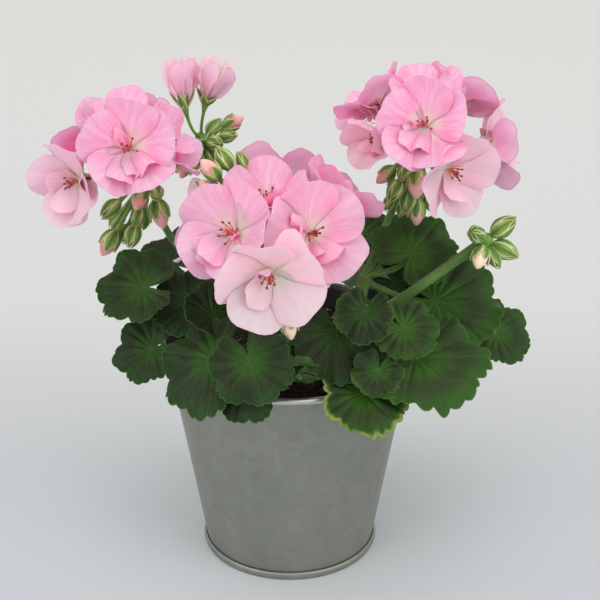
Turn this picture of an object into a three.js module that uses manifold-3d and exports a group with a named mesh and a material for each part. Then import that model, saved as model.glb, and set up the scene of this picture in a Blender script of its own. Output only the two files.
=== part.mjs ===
// A zonal geranium in a galvanised steel pot: rolled-rim wall, seamed base, potting soil, the branching
// stems with their leaf stalks and flower stalks, each leaf blade, and each flower head.
// Millimetres, +Z up, origin in the middle of the pot's flat underside, the best side towards -Y.
import * as THREE from "three";
import Module from "manifold-3d";

const wasm = await Module();
wasm.setup();

const CLEARANCE = 0.35; // air left between neighbouring solids
const DEG = Math.PI / 180;

// Shared shape helpers

// A closed mesh, given as points and triangles, as a solid.
function solidFrom(points, triangles) {
  return new wasm.Manifold(
    new wasm.Mesh({
      numProp: 3,
      vertProperties: new Float32Array(points.flatMap((p) => [p.x, p.y, p.z])),
      triVerts: new Uint32Array(triangles.flat()),
    }),
  );
}

function geometryFrom(solid) {
  const mesh = solid.getMesh();
  const geometry = new THREE.BufferGeometry();
  geometry.setAttribute("position", new THREE.BufferAttribute(new Float32Array(mesh.vertProperties), 3));
  geometry.setIndex(new THREE.BufferAttribute(new Uint32Array(mesh.triVerts), 1));
  geometry.computeVertexNormals();
  return geometry;
}

const joined = (solids) => wasm.Manifold.union(solids);
const vec = (x, y, z) => new THREE.Vector3(x, y, z);
const polar = (azimuth, elevation) =>
  vec(
    Math.cos(elevation * DEG) * Math.cos(azimuth * DEG),
    Math.cos(elevation * DEG) * Math.sin(azimuth * DEG),
    Math.sin(elevation * DEG),
  );

// The largest body of a solid that may have lost a scrap to a cut.
function largestBody(solid) {
  const bodies = solid.decompose();
  return bodies.reduce((a, b) => (b.volume() > a.volume() ? b : a));
}

// A round stalk along a curve, closed at both ends, with the given radii at even steps, or at given shares.
function stalk(curve, radii, sides, shares = radii.map((_, i) => i / (radii.length - 1))) {
  let side = null;
  const points = radii.flatMap((radius, i) => {
    const at = curve.getPointAt(shares[i]);
    const along = curve.getTangentAt(shares[i]);
    side = side ?? (Math.abs(along.z) > 0.9 ? vec(1, 0, 0) : vec(0, 0, 1));
    side = side.clone().addScaledVector(along, -side.dot(along)).normalize();
    const up = along.clone().cross(side);
    return Array.from({ length: sides }, (_, k) => {
      const turn = (k / sides) * 2 * Math.PI;
      return at
        .clone()
        .addScaledVector(side, radius * Math.cos(turn))
        .addScaledVector(up, radius * Math.sin(turn));
    });
  });
  const triangles = [];
  const last = (radii.length - 1) * sides;
  for (let i = 0; i < last; i += sides)
    for (let k = 0; k < sides; k++) {
      const [a, b] = [i + k, i + ((k + 1) % sides)];
      triangles.push([a, b, b + sides], [a, b + sides, a + sides]);
    }
  for (let k = 1; k < sides - 1; k++) triangles.push([0, k + 1, k], [last, last + k, last + k + 1]);
  return solidFrom(points, triangles);
}

const evenRadii = (from, to, steps) =>
  Array.from({ length: steps + 1 }, (_, i) => from + ((to - from) * i) / steps);

// A small closed spindle, such as a bud: rings of the given [distance along, radius] between two tips.
function spindle(tip, direction, rings, length, sides) {
  const along = direction.clone().normalize();
  const side = vec(0.3, 0.5, 1).cross(along).normalize();
  const up = along.clone().cross(side);
  const points = [tip.clone(), tip.clone().addScaledVector(along, length)];
  rings.forEach(([reach, radius]) => {
    for (let k = 0; k < sides; k++) {
      const turn = (k / sides) * 2 * Math.PI;
      points.push(
        tip
          .clone()
          .addScaledVector(along, reach)
          .addScaledVector(side, radius * Math.cos(turn))
          .addScaledVector(up, radius * Math.sin(turn)),
      );
    }
  });
  const ring = (i, k) => 2 + i * sides + (k % sides);
  const triangles = [];
  for (let k = 0; k < sides; k++) {
    triangles.push([0, ring(0, k + 1), ring(0, k)]);
    triangles.push([1, ring(rings.length - 1, k), ring(rings.length - 1, k + 1)]);
    for (let i = 0; i + 1 < rings.length; i++) {
      triangles.push([ring(i, k), ring(i, k + 1), ring(i + 1, k + 1)]);
      triangles.push([ring(i, k), ring(i + 1, k + 1), ring(i + 1, k)]);
    }
  }
  return solidFrom(points, triangles);
}

// A fixed series of numbers between -1 and 1, so that each build is alike.
function series(seed) {
  let state = seed;
  return () => {
    state = (state * 16807) % 2147483647;
    return (state / 2147483647) * 2 - 1;
  };
}

// The pot: a tapered steel wall with a rolled rim, seamed into a flat base, and the soil in it
const POT = { height: 117, rimRadius: 65, footRadius: 44.3, sheet: 0.9, facets: 36 };
const WALL_FOOT = { z: 1.3, radius: POT.footRadius - 1.5 };
const RIM_BEAD = { radius: 1.7, facets: 5, neck: 2.4, start: -135, sweep: 288 };
const SEAM = { height: 4.2, bulge: 0.45, foot: 0.2, bevel: 0.9, floor: 1, gap: 0.3, lip: 0.55 };
const SOIL = { top: 104, crumb: 1.1, hole: 13.5, holeDepth: 12, around: 20 };

const wallRimRadius = POT.rimRadius - 2 * RIM_BEAD.radius + POT.sheet;
const wallSlope = (wallRimRadius - WALL_FOOT.radius) / (POT.height - RIM_BEAD.radius - WALL_FOOT.z);
const wallRadiusAt = (z) => WALL_FOOT.radius + wallSlope * (z - WALL_FOOT.z);

function lathe(profile) {
  const points = profile.map(([r, z]) => new THREE.Vector2(r, z));
  const geometry = new THREE.LatheGeometry(points, POT.facets);
  geometry.rotateX(Math.PI / 2);
  return geometry;
}

function potWall() {
  const beadMiddle = POT.height - RIM_BEAD.radius;
  const bead = Array.from({ length: RIM_BEAD.facets + 1 }, (_, i) => {
    const turn = (RIM_BEAD.start + (i / RIM_BEAD.facets) * RIM_BEAD.sweep) * DEG;
    return [
      POT.rimRadius - RIM_BEAD.radius + RIM_BEAD.radius * Math.cos(turn),
      beadMiddle + RIM_BEAD.radius * Math.sin(turn),
    ];
  });
  const neck = beadMiddle - RIM_BEAD.neck;
  const profile = [
    [WALL_FOOT.radius - POT.sheet, WALL_FOOT.z],
    [WALL_FOOT.radius, WALL_FOOT.z],
    [wallRadiusAt(neck), neck],
    ...bead,
    [wallRadiusAt(neck) - POT.sheet, neck],
  ];
  return lathe([...profile, profile[0]]);
}

// The base is a pan: its seam stands round the foot of the wall, with a little air between.
function potBase() {
  const inside = WALL_FOOT.radius + SEAM.gap;
  const insideTop = inside + wallSlope * (SEAM.height - SEAM.floor);
  return lathe([
    [0, 0],
    [POT.footRadius + SEAM.foot - SEAM.bevel, 0],
    [POT.footRadius + SEAM.foot, SEAM.bevel],
    [POT.footRadius + SEAM.bulge, SEAM.height - SEAM.bevel],
    [insideTop + SEAM.lip, SEAM.height],
    [insideTop, SEAM.height],
    [inside, SEAM.floor],
    [0, SEAM.floor],
  ]);
}

// The stems: one root crown in the soil, four shoots, and the stalks that rise from them
const CROWN = { radius: 7, depth: 16, top: SOIL.top + 7, rings: [[0.5, 0.7], [6, 1], [12, 0.8]] };
const SHOOTS = {
  left: [[-2, 0, 100], [-14, -6, 116], [-26, -12, 134], [-32, -10, 152]],
  front: [[0, -2, 100], [3, -14, 114], [6, -26, 128], [4, -30, 142]],
  right: [[2, 1, 100], [16, -2, 115], [30, -6, 132], [38, -2, 152]],
  back: [[0, 3, 100], [2, 18, 116], [0, 30, 136], [-2, 34, 156]],
};
const SHOOT_RADII = [4.6, 3.2];

// Each leaf: the shoot it grows from and how far up, the point where its stalk meets the blade, the blade's
// reach, the way its upper face looks (degrees round Z from +X, and above the horizon), the way its middle
// vein runs, and its form: cup lifts the edge, fold lifts the two sides, curl bends the tip, wave ripples
// the margin from the given phase.
const LEAF_ROWS = {
  left_upper: ["left", 0.9, [-70, -30, 160], 23, [-108, 56], 170, [0.05, 0, -0.1, 0.08, 0]],
  left_lower: ["left", 0.6, [-66, -42, 133], 19.5, [-116, 44], -165, [0.05, 0, -0.08, 0.05, 1]],
  left_behind: ["left", 0.95, [-58, 16, 150], 20, [-100, 66], 130, [0.08, 0, -0.15, 0.07, 2]],
  left_inner: ["left", 0.75, [-47, -30, 151], 21, [-96, 54], -178, [0.06, 0, -0.06, 0.05, 3]],
  left_front: ["left", 0.4, [-35, -67.6, 140.8], 29, [-124, 54], -150, [0.02, -0.16, -0.22, 0.1, 1.4]],
  front_rim: ["front", 0.7, [-18, -82.6, 148.8], 22, [-88, 26], -80, [0.04, -0.08, -0.04, 0.06, 0.5]],
  front_under: ["front", 0.3, [-21, -76, 131], 18, [-96, 40], -70, [0.03, -0.05, -0.03, 0.06, 2.2]],
  left_folded: ["left", 0.97, [-36, -45.8, 152.9], 16, [-56, 50], 160, [0.08, 0.3, 0.05, 0.08, 0.9]],
  left_edgeways: ["front", 0.95, [-23, -48, 156], 15, [20, 20], -70, [0.05, 0.1, 0, 0.06, 2]],
  middle_right: ["front", 0.85, [22, -50, 147], 26, [-80, 40], -76, [0.04, 0.06, -0.04, 0.05, 1]],
  middle_low: ["front", 0.5, [-5, -58, 137], 16, [-95, 48], -120, [0.05, 0.05, -0.08, 0.08, 1.7]],
  middle_turned: ["front", 0.2, [4, -61, 130.5], 15, [84, 30], -170, [0.05, 0.05, 0.05, 0.07, 5]],
  right_pale: ["right", 0.8, [36, -54, 159], 16, [-92, 34], -100, [0.06, 0.05, -0.05, 0.12, 0.3]],
  right_inner: ["right", 0.7, [54, -48.7, 147.4], 18, [-86, 54], -50, [0.06, 0.05, -0.08, 0.07, 1.8]],
  right_crinkled: ["right", 0.35, [42, -66, 134], 14, [-80, 50], -100, [0.06, 0.08, -0.06, 0.09, 3.3]],
  right_front: ["right", 0.5, [60, -48.3, 131.6], 37, [-72, 76], -50, [0.03, 0, -0.16, 0.08, 2.4]],
  right_gilded: ["right", 0.3, [35, -68, 123], 24, [-90, 70], -50, [0.02, -0.12, -0.16, 0.09, 0.7]],
  right_large: ["right", 0.95, [72, -10.4, 142.2], 33, [-88, 52], -22, [0.03, -0.05, -0.08, 0.07, 0.2]],
  right_far: ["right", 0.65, [103, -4, 121], 19, [-66, 50], -10, [0.05, 0.05, -0.12, 0.07, 2.9]],
  right_top: ["right", 1, [60, 0, 163], 24, [-84, 56], 60, [0.05, 0.05, -0.1, 0.07, 1.1]],
  middle_top: ["right", 0.98, [33, 25, 161], 20, [-95, 60], -70, [0.06, 0.05, -0.08, 0.07, 3.9]],
  middle_inner: ["right", 0.6, [53, 12, 141], 20, [-88, 56], -40, [0.06, 0, -0.08, 0.07, 2.1]],
  back_right: ["right", 0.6, [64, 60, 138], 33, [60, 50], 45, [0.05, 0, -0.15, 0.07, 0.6]],
  back_right_low: ["back", 0.45, [34, 74, 118], 26, [70, 40], 50, [0.04, 0, -0.15, 0.06, 1.9]],
  back_middle: ["back", 0.9, [6, 54, 156], 33, [90, 56], 84, [0.05, 0.04, -0.12, 0.07, 2.7]],
  back_middle_low: ["back", 0.3, [-14, 74, 124], 28, [95, 40], 110, [0.04, -0.05, -0.12, 0.06, 4.4]],
  back_left: ["back", 0.7, [-50, 54, 144], 31, [125, 50], 130, [0.05, 0, -0.12, 0.07, 5.2]],
  back_left_low: ["left", 0.5, [-66, 12, 129], 23, [165, 46], 175, [0.05, 0.04, -0.15, 0.06, 0.4]],
};
const LEAVES = Object.fromEntries(
  Object.entries(LEAF_ROWS).map(([name, [shoot, at, base, reach, face, vein, form]]) => {
    const [cup, fold, curl, wave, phase] = form;
    return [name, { shoot, at, base, reach, face, vein, cup, fold, curl, wave, phase }];
  }),
);
const BLADE = {
  halfThickness: 0.5,
  seat: 0.5, // from the blade's lower face to the end of its stalk
  edgePoints: 28,
  lobes: 7,
  lobeDepth: 0.05,
  toothDepth: 0.035,
  notch: 0.86,
  notchWidth: 17, // degrees
};
const STALK_RADII = [1.7, 1.25];
const RIM_PASS = 9; // a low leaf's stalk passes this far over the rim

// The flower stalks rise from a shoot, through the given points, to the hub of the head.
const FLOWER_STALKS = {
  left: { shoot: "left", at: 0.85, through: [[-60, 0, 176]], hub: [-66, 2, 202], radius: 1.7 },
  back: { shoot: "back", at: 0.8, through: [[-22, 46, 176]], hub: [-42, 60, 195], radius: 1.6 },
  middle: { shoot: "front", at: 0.9, through: [[-2, -34, 166]], hub: [-6, -36, 186], radius: 2 },
  right: { shoot: "right", at: 0.95, through: [[52, 16, 182]], hub: [62, 12, 212], radius: 1.8 },
  bud: { shoot: "right", at: 0.5, through: [[50, -27, 149]], hub: [91, -21, 178], radius: 2.3 },
};

// The heads: each floret has its middle, the way it faces (degrees round Z from +X, and above the
// horizon), its reach, how far its petals open from its axis, and its turn about that axis. Each bud has the
// way it grows from the hub, in the same two angles, how far off its foot is, and its size.
const HEADS = {
  left: {
    florets: [
      { at: [-74, -30, 232], face: [-92, 27], reach: 27, open: 66, turn: 90 },
      { at: [-99, -20, 212], face: [-128, 3], reach: 25, open: 62, turn: 40 },
      { at: [-94, 6, 218], face: [150, 28], reach: 24, open: 66, turn: 20 },
      { at: [-62, -2, 220], face: [-5, 34], reach: 23, open: 64, turn: 100 },
      { at: [-80, -3, 231], face: [-100, 84], reach: 23, open: 66, turn: 10 },
      { at: [-78, 24, 215], face: [100, 36], reach: 26, open: 66, turn: 30 },
    ],
    buds: [
      [-62, -63, 13.5, 1.2],
      [-106, -24, 12.5, 1],
      [-147, -32, 21, 0.95],
      [-78, -9, 14, 0.8],
      [-123, -58, 18, 0.8],
      [-163, -58, 34, 1.2],
      [-138, -68, 27, 0.95],
      [-179, -68, 30.5, 0.85],
      [174, -56, 26.5, 0.85],
      [140, -78, 24, 0.8],
      [126, -63, 21.5, 0.9],
    ],
  },
  back: {
    florets: [
      { at: [-53, 57, 219], face: [130, 78], reach: 24, open: 26, turn: -15 },
      { at: [-42, 61, 219], face: [-10, 74], reach: 24, open: 26, turn: 35 },
    ],
    buds: [
      [-7, 32, 13.5, 0.95],
      [-23, 16, 10.5, 0.8],
      [39, 31, 4, 0.85],
      [179, -7, 5, 0.85],
      [-110, 0, 5, 0.9],
      [-53, 10, 7.5, 0.85],
      [-107, -44, 6.5, 0.85],
      [-170, -51, 11.5, 0.9],
      [-144, -53, 11.5, 0.9],
      [-28, -63, 5, 0.8],
    ],
  },
  middle: {
    florets: [
      { at: [-24, -67, 206], face: [-118, 28], reach: 28, open: 66, turn: 80 },
      { at: [9, -68, 206], face: [-66, 28], reach: 29, open: 66, turn: 95 },
      { at: [-8, -89, 198], face: [-92, -5], reach: 29, open: 66, turn: 105 },
      { at: [-10, -47, 210], face: [-90, 72], reach: 25, open: 62, turn: 20 },
      { at: [21, -36, 206], face: [24, 50], reach: 25, open: 64, turn: 50 },
      { at: [-37, -38, 196], face: [174, 10], reach: 24, open: 64, turn: 15 },
      { at: [-8, -10, 202], face: [90, 34], reach: 26, open: 66, turn: 75 },
    ],
    buds: [
      [179, 60, 40, 1],
      [-169, 51, 41, 1.05],
      [-173, 41, 34.5, 0.95],
      [173, 34, 40, 0.6],
      [157, 66, 35.5, 0.7],
      [-78, -42, 40, 1],
    ],
  },
  right: {
    florets: [
      { at: [64, -27, 242], face: [-104, 32], reach: 26, open: 64, turn: 90 },
      { at: [74, -29, 222], face: [-56, -3], reach: 25, open: 66, turn: 75 },
      { at: [45, -11, 231], face: [-142, -4], reach: 21, open: 46, turn: 30 },
      { at: [44, 14, 234], face: [150, 44], reach: 24, open: 66, turn: 60 },
      { at: [80, 18, 234], face: [50, 46], reach: 24, open: 66, turn: 10 },
      { at: [94, 3, 219], face: [4, 8], reach: 25, open: 64, turn: 80 },
      { at: [66, 0, 243], face: [-80, 82], reach: 22, open: 64, turn: 40 },
      { at: [64, 40, 217], face: [95, 22], reach: 26, open: 66, turn: 25 },
    ],
    buds: [
      [-96, -41, 13, 1.25],
      [-150, -31, 16.5, 0.95],
      [-125, -37, 21, 0.95],
      [-153, -59, 27.5, 0.7],
      [-114, -58, 22.5, 0.95],
      [-146, -73, 28.5, 0.7],
      [-95, -69, 26, 1.05],
      [-34, -77, 24, 0.8],
      [-120, -27, 12.5, 0.85],
      [71, -72, 30.5, 0.9],
    ],
  },
  bud: {
    florets: [],
    buds: [
      [-120, 35, 7.5, 0.95],
      [-109, -30, 4, 1.05],
      [5, 37, 4, 1.1],
      [-10, -26, 4, 1.1],
      [-39, -55, 4.5, 0.85],
      [69, -46, 8.5, 0.8],
    ],
  },
};
const PETAL = {
  perFloret: 5,
  widthToLength: 0.5,
  closedWidth: 0.16, // a petal that hasn't opened is rolled to this share of its width, and more as it opens
  halfThickness: 0.34,
  root: 1.6,
  bend: 0.16,
  hollow: 0.1,
  twist: 0.2, // radians
};
const CORE = { behind: 1.5, length: 4.4, rings: [[1, 2.4], [3, 2]], sides: 5 };
const KNOB = { length: 7.5, radius: 3.6, inside: 2, rings: [[1.4, 1], [5, 0.85]], sides: 6 };
const CALYX = { length: 6, gap: 2, radius: 2.4, bend: 14 };
const PEDICEL = { radius: 0.8, root: 0.4, sides: 3 };
const BUD = { length: 12, radius: 3.7, sides: 4 };

const at = ([x, y, z]) => vec(x, y, z);
const shootCurves = Object.fromEntries(
  Object.entries(SHOOTS).map(([name, points]) => [name, new THREE.CatmullRomCurve3(points.map(at))]),
);

// The frame of a leaf blade: z is the way its upper face looks, y runs along its middle vein.
function bladeFrame(leaf) {
  const z = polar(...leaf.face);
  const y = polar(leaf.vein, 0);
  y.addScaledVector(z, -y.dot(z)).normalize();
  return { x: y.clone().cross(z), y, z };
}

// How far the margin lies from the stalk at an angle from the middle vein, as a share of the reach.
function marginAt(angle) {
  const fromNotch = (180 - Math.abs(angle / DEG)) / BLADE.notchWidth;
  const round = 1 - 0.12 * (1 - Math.cos(angle));
  const lobes = BLADE.lobeDepth * Math.cos(BLADE.lobes * angle);
  return (round + lobes) * (1 - BLADE.notch * Math.exp(-fromNotch * fromNotch));
}

// How far a point of the blade stands above its stalk, as a share of the reach.
function bladeHeight(leaf, share, angle) {
  const across = share * Math.sin(angle);
  const along = share * Math.cos(angle);
  const ripple = leaf.wave * share ** 3 * Math.cos(5 * angle + leaf.phase);
  return leaf.cup * share ** 2 + leaf.fold * across ** 2 + leaf.curl * along * Math.abs(along) + ripple;
}

function leafBlade(leaf, grow = 0) {
  const { x, y, z } = bladeFrame(leaf);
  const base = at(leaf.base);
  const edge = BLADE.edgePoints;
  const place = (share, angle, lift) => {
    const reach = (leaf.reach + grow) * share;
    return base
      .clone()
      .addScaledVector(x, reach * Math.sin(angle))
      .addScaledVector(y, reach * Math.cos(angle))
      .addScaledVector(z, leaf.reach * bladeHeight(leaf, share, angle) + lift);
  };
  const half = BLADE.halfThickness + grow;
  const rings = [
    { count: edge / 4, share: 0.52 },
    { count: edge, share: 1 },
  ];
  const side = (lift) => {
    const points = [place(0, 0, lift)];
    rings.forEach(({ count, share }) => {
      for (let k = 0; k < count; k++) {
        const angle = ((k + 0.5) / count) * 2 * Math.PI - Math.PI;
        const tooth = share === 1 && k % 2 === 1 ? -BLADE.toothDepth : 0;
        points.push(place((marginAt(angle) + tooth) * share, angle, lift));
      }
    });
    return points;
  };
  const points = [...side(half), ...side(-half)];
  const lower = points.length / 2;
  const inner = (k) => 1 + (k % rings[0].count);
  const outer = (k) => 1 + rings[0].count + (k % edge);
  const face = [];
  for (let k = 0; k < rings[0].count; k++) {
    face.push([0, inner(k + 1), inner(k)]);
    for (let j = 4 * k; j < 4 * k + 3; j++) face.push([inner(k), outer(j + 1), outer(j)]);
    face.push([inner(k), inner(k + 1), outer(4 * k + 3)]);
    face.push([inner(k + 1), outer(4 * k + 4), outer(4 * k + 3)]);
  }
  const triangles = face.flatMap(([a, b, c]) => [
    [a, b, c],
    [a + lower, c + lower, b + lower],
  ]);
  for (let k = 0; k < edge; k++) {
    const [a, b] = [outer(k), outer(k + 1)];
    triangles.push([a, b, b + lower], [a, b + lower, a + lower]);
  }
  return solidFrom(points, triangles);
}

// A leaf's stalk leaves its shoot, rises, and ends just under the blade.
function leafStalk(leaf, grow) {
  const { y, z } = bladeFrame(leaf);
  const from = shootCurves[leaf.shoot].getPointAt(leaf.at);
  const end = at(leaf.base).addScaledVector(z, -BLADE.halfThickness - BLADE.seat);
  const near = end.clone().addScaledVector(z, -0.3 * leaf.reach).addScaledVector(y, -0.25 * leaf.reach);
  near.z = Math.max(near.z, POT.height + RIM_PASS);
  const curve = new THREE.CubicBezierCurve3(from, from.clone().lerp(near, 0.5), near, end);
  return stalk(curve, evenRadii(STALK_RADII[0] + grow, STALK_RADII[1] + grow, 3), 4);
}

function flowerStalkCurve({ shoot, at: share, through, hub }) {
  const from = shootCurves[shoot].getPointAt(share);
  return new THREE.CatmullRomCurve3([from, ...through.map(at), at(hub)]);
}

function stems(grow = 0) {
  const crownRings = CROWN.rings.map(([reach, share]) => [reach, CROWN.radius * share + grow]);
  const crown = spindle(vec(0, 0, CROWN.top - CROWN.depth), vec(0, 0, 1), crownRings, CROWN.depth, 8);
  const shoots = Object.values(shootCurves).map((curve) =>
    stalk(curve, evenRadii(SHOOT_RADII[0] + grow, SHOOT_RADII[1] + grow, 4), 6),
  );
  const leafStalks = Object.values(LEAVES).map((leaf) => leafStalk(leaf, grow));
  const flowerStalks = Object.values(FLOWER_STALKS).map((spec) =>
    stalk(flowerStalkCurve(spec), evenRadii(spec.radius + 0.3 + grow, spec.radius + grow, 4), 4),
  );
  return joined([crown, ...shoots, ...leafStalks, ...flowerStalks]);
}

// One petal of a floret, from its root in the floret's middle, turned about the floret's axis. Its two rows
// of points give the share of the reach, the share of the half width, and how far the middle stands out.
function petal(floret, turn, twist, grow) {
  const axis = polar(...floret.face);
  const seed = Math.abs(axis.z) > 0.95 ? vec(0, 1, 0) : vec(0, 0, 1);
  const right = seed.clone().cross(axis).normalize();
  const above = axis.clone().cross(right);
  const radial = right.clone().multiplyScalar(Math.cos(turn)).addScaledVector(above, Math.sin(turn));
  const open = floret.open * DEG;
  const y = radial.clone().multiplyScalar(Math.sin(open)).addScaledVector(axis, Math.cos(open));
  const flatX = axis.clone().cross(radial);
  const flatZ = flatX.clone().cross(y);
  const x = flatX.clone().multiplyScalar(Math.cos(twist)).addScaledVector(flatZ, Math.sin(twist));
  const z = flatZ.clone().multiplyScalar(Math.cos(twist)).addScaledVector(flatX, -Math.sin(twist));
  const reach = floret.reach + grow;
  const half = PETAL.widthToLength * Math.min(1, PETAL.closedWidth + floret.open / 90) * reach + grow;
  const rows = [
    [0.62, 1, 0],
    [0.95, 0.66, 0.04],
  ];
  const place = (share, across, tip, lift) => {
    const height = -PETAL.bend * share ** 3 + PETAL.hollow * across ** 2 * share * (1 - share);
    return at(floret.at)
      .addScaledVector(x, half * across)
      .addScaledVector(y, reach * (share + tip))
      .addScaledVector(z, reach * height + lift);
  };
  const side = (lift) => [
    place(PETAL.root / reach, 0, 0, lift),
    ...rows.flatMap(([share, width, tip]) =>
      [-1, 0, 1].map((k) => place(share, k * width, k ? 0 : tip, lift)),
    ),
  ];
  const thick = PETAL.halfThickness + grow;
  const points = [...side(thick), ...side(-thick)];
  const lower = points.length / 2;
  const face = [[0, 3, 2], [0, 2, 1], [1, 2, 5], [1, 5, 4], [2, 3, 6], [2, 6, 5]];
  const triangles = face.flatMap(([a, b, c]) => [
    [a, b, c],
    [a + lower, c + lower, b + lower],
  ]);
  const rim = [0, 1, 4, 5, 6, 3];
  rim.forEach((a, i) => {
    const b = rim[(i + 1) % rim.length];
    triangles.push([a, b, b + lower], [a, b + lower, a + lower]);
  });
  return solidFrom(points, triangles);
}

function floretSolid(floret, seed, grow = 0) {
  const draw = series(seed);
  const axis = polar(...floret.face);
  const coreTip = at(floret.at).addScaledVector(axis, -CORE.behind - grow);
  const coreRings = CORE.rings.map(([reach, radius]) => [reach + grow, radius + grow]);
  const core = spindle(coreTip, axis, coreRings, CORE.length + 2 * grow, CORE.sides);
  const petals = Array.from({ length: PETAL.perFloret }, (_, k) => {
    const turn = (floret.turn + (360 / PETAL.perFloret) * k + 5 * draw()) * DEG;
    return petal({ ...floret, open: floret.open + 5 * draw() }, turn, PETAL.twist, grow);
  });
  return joined([core, ...petals]);
}

// The green of a head: the knob on the flower stalk, the florets' stalks and calyxes, and the buds.
function greenery(name, head, grow = 0) {
  const curve = flowerStalkCurve(FLOWER_STALKS[name]);
  const rise = curve.getTangentAt(1);
  const hub = curve.getPointAt(1).addScaledVector(rise, CLEARANCE + KNOB.length / 2);
  const knobTip = hub.clone().addScaledVector(rise, -KNOB.length / 2);
  const knobRings = KNOB.rings.map(([reach, share]) => [reach, KNOB.radius * share + grow]);
  const knob = spindle(knobTip, rise, knobRings, KNOB.length, KNOB.sides);
  const calyxes = head.florets.map((floret) => {
    const axis = polar(...floret.face);
    const end = at(floret.at).addScaledVector(axis, -CALYX.gap);
    const start = hub.clone().addScaledVector(end.clone().sub(hub).normalize(), KNOB.inside);
    const bend = end.clone().addScaledVector(axis, -CALYX.bend).lerp(hub, 0.2);
    const line = new THREE.QuadraticBezierCurve3(start, bend, end);
    const foot = 1 - CALYX.length / line.getLength();
    const radii = [PEDICEL.root, PEDICEL.radius, PEDICEL.radius, CALYX.radius].map((r) => r + grow);
    return stalk(line, radii, PEDICEL.sides, [0, foot / 2, foot, 1]);
  });
  return joined([knob, ...calyxes, ...buds(hub, head.buds, grow)]);
}

// Each bud stands or hangs on its own stalk, widest a little above its foot.
function buds(hub, rows, grow) {
  return rows.map(([azimuth, elevation, foot, size]) => {
    const way = polar(azimuth, elevation);
    const tip = foot + BUD.length * size;
    const line = new THREE.LineCurve3(
      hub.clone().addScaledVector(way, KNOB.inside),
      hub.clone().addScaledVector(way, tip),
    );
    const radii = [PEDICEL.root, PEDICEL.radius, BUD.radius * size, 0.4];
    const stations = [KNOB.inside, foot, foot + 0.4 * (tip - foot), tip];
    const shares = stations.map((reached) => (reached - KNOB.inside) / (tip - KNOB.inside));
    return stalk(line, radii.map((r) => r + grow), BUD.sides, shares);
  });
}

// The soil fills the pot to below its rim; its crumbs are raised by a formula.
function soil() {
  const bottom = WALL_FOOT.z;
  const insideAt = (z) => wallRadiusAt(z) - POT.sheet - CLEARANCE;
  const around = SOIL.around;
  const rings = [SOIL.hole, 22, 33, 44, insideAt(SOIL.top)];
  const crumbs = (r, turn) => SOIL.crumb * Math.sin(0.55 * r + 3 * turn) * Math.cos(5 * turn - 0.3 * r);
  const ringPoints = (r, z) =>
    Array.from({ length: around }, (_, k) => {
      const turn = (k / around) * 2 * Math.PI;
      return vec(r * Math.cos(turn), r * Math.sin(turn), z(r, turn));
    });
  const top = (r, turn) => SOIL.top + (r > SOIL.hole && r < 50 ? crumbs(r, turn) : 0);
  const holeFloor = SOIL.top - SOIL.holeDepth;
  const levels = [
    ringPoints(SOIL.hole, () => holeFloor),
    ...rings.map((r) => ringPoints(r, top)),
    ringPoints(insideAt(bottom), () => bottom),
  ];
  const points = [vec(0, 0, holeFloor), ...levels.flat(), vec(0, 0, bottom)];
  const index = (level, k) => 1 + level * around + (k % around);
  const triangles = [];
  for (let k = 0; k < around; k++) {
    triangles.push([0, index(0, k), index(0, k + 1)]);
    triangles.push([points.length - 1, index(levels.length - 1, k + 1), index(levels.length - 1, k)]);
    for (let i = 0; i + 1 < levels.length; i++) {
      triangles.push([index(i, k), index(i + 1, k), index(i + 1, k + 1)]);
      triangles.push([index(i, k), index(i + 1, k + 1), index(i, k + 1)]);
    }
  }
  return solidFrom(points, triangles);
}

const FINISH = {
  zinc: { color: "#8b8f8a", roughness: 0.5, metalness: 0.7 },
  soil: { color: "#2a1e17", roughness: 1, metalness: 0 },
  stem: { color: "#4f7a34", roughness: 0.6, metalness: 0 },
  blade: { color: "#2f5a2a", roughness: 0.65, metalness: 0 },
  bud: { color: "#6f9150", roughness: 0.6, metalness: 0 },
  petal: { color: "#f6a9c6", roughness: 0.6, metalness: 0 },
};

const geranium = new THREE.Group();

function add(name, geometry, finish) {
  const mesh = new THREE.Mesh(geometry, new THREE.MeshStandardMaterial(FINISH[finish]));
  mesh.name = name;
  geranium.add(mesh);
}

const TIDY = 0.15; // faces smaller than this are merged after cuts

const stemRoom = stems(CLEARANCE);
add("pot_wall", potWall(), "zinc");
add("pot_base", potBase(), "zinc");
add("soil", geometryFrom(soil()), "soil");
add("stems", geometryFrom(stems().simplify(TIDY)), "stem");

// Each floret and blade gives way to what is already there, where it would touch it.
const taken = [stemRoom];
function giveWay(solid) {
  return largestBody(taken.reduce((left, room) => left.subtract(room), solid)).simplify(TIDY);
}

Object.entries(HEADS).forEach(([name, head]) => {
  add(`head_${name}_green`, geometryFrom(giveWay(greenery(name, head))), "bud");
  taken.push(greenery(name, head, CLEARANCE));
});

Object.entries(HEADS).forEach(([name, head], i) =>
  head.florets.forEach((floret, k) => {
    const seed = 101 + 10 * i + k;
    add(`floret_${name}_${k + 1}`, geometryFrom(giveWay(floretSolid(floret, seed))), "petal");
    taken.push(floretSolid(floret, seed, CLEARANCE));
  }),
);

Object.entries(LEAVES).forEach(([name, leaf]) => {
  add(`leaf_${name}`, geometryFrom(giveWay(leafBlade(leaf))), "blade");
  taken.push(leafBlade(leaf, CLEARANCE));
});

export default geranium;
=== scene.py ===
import math

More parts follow.
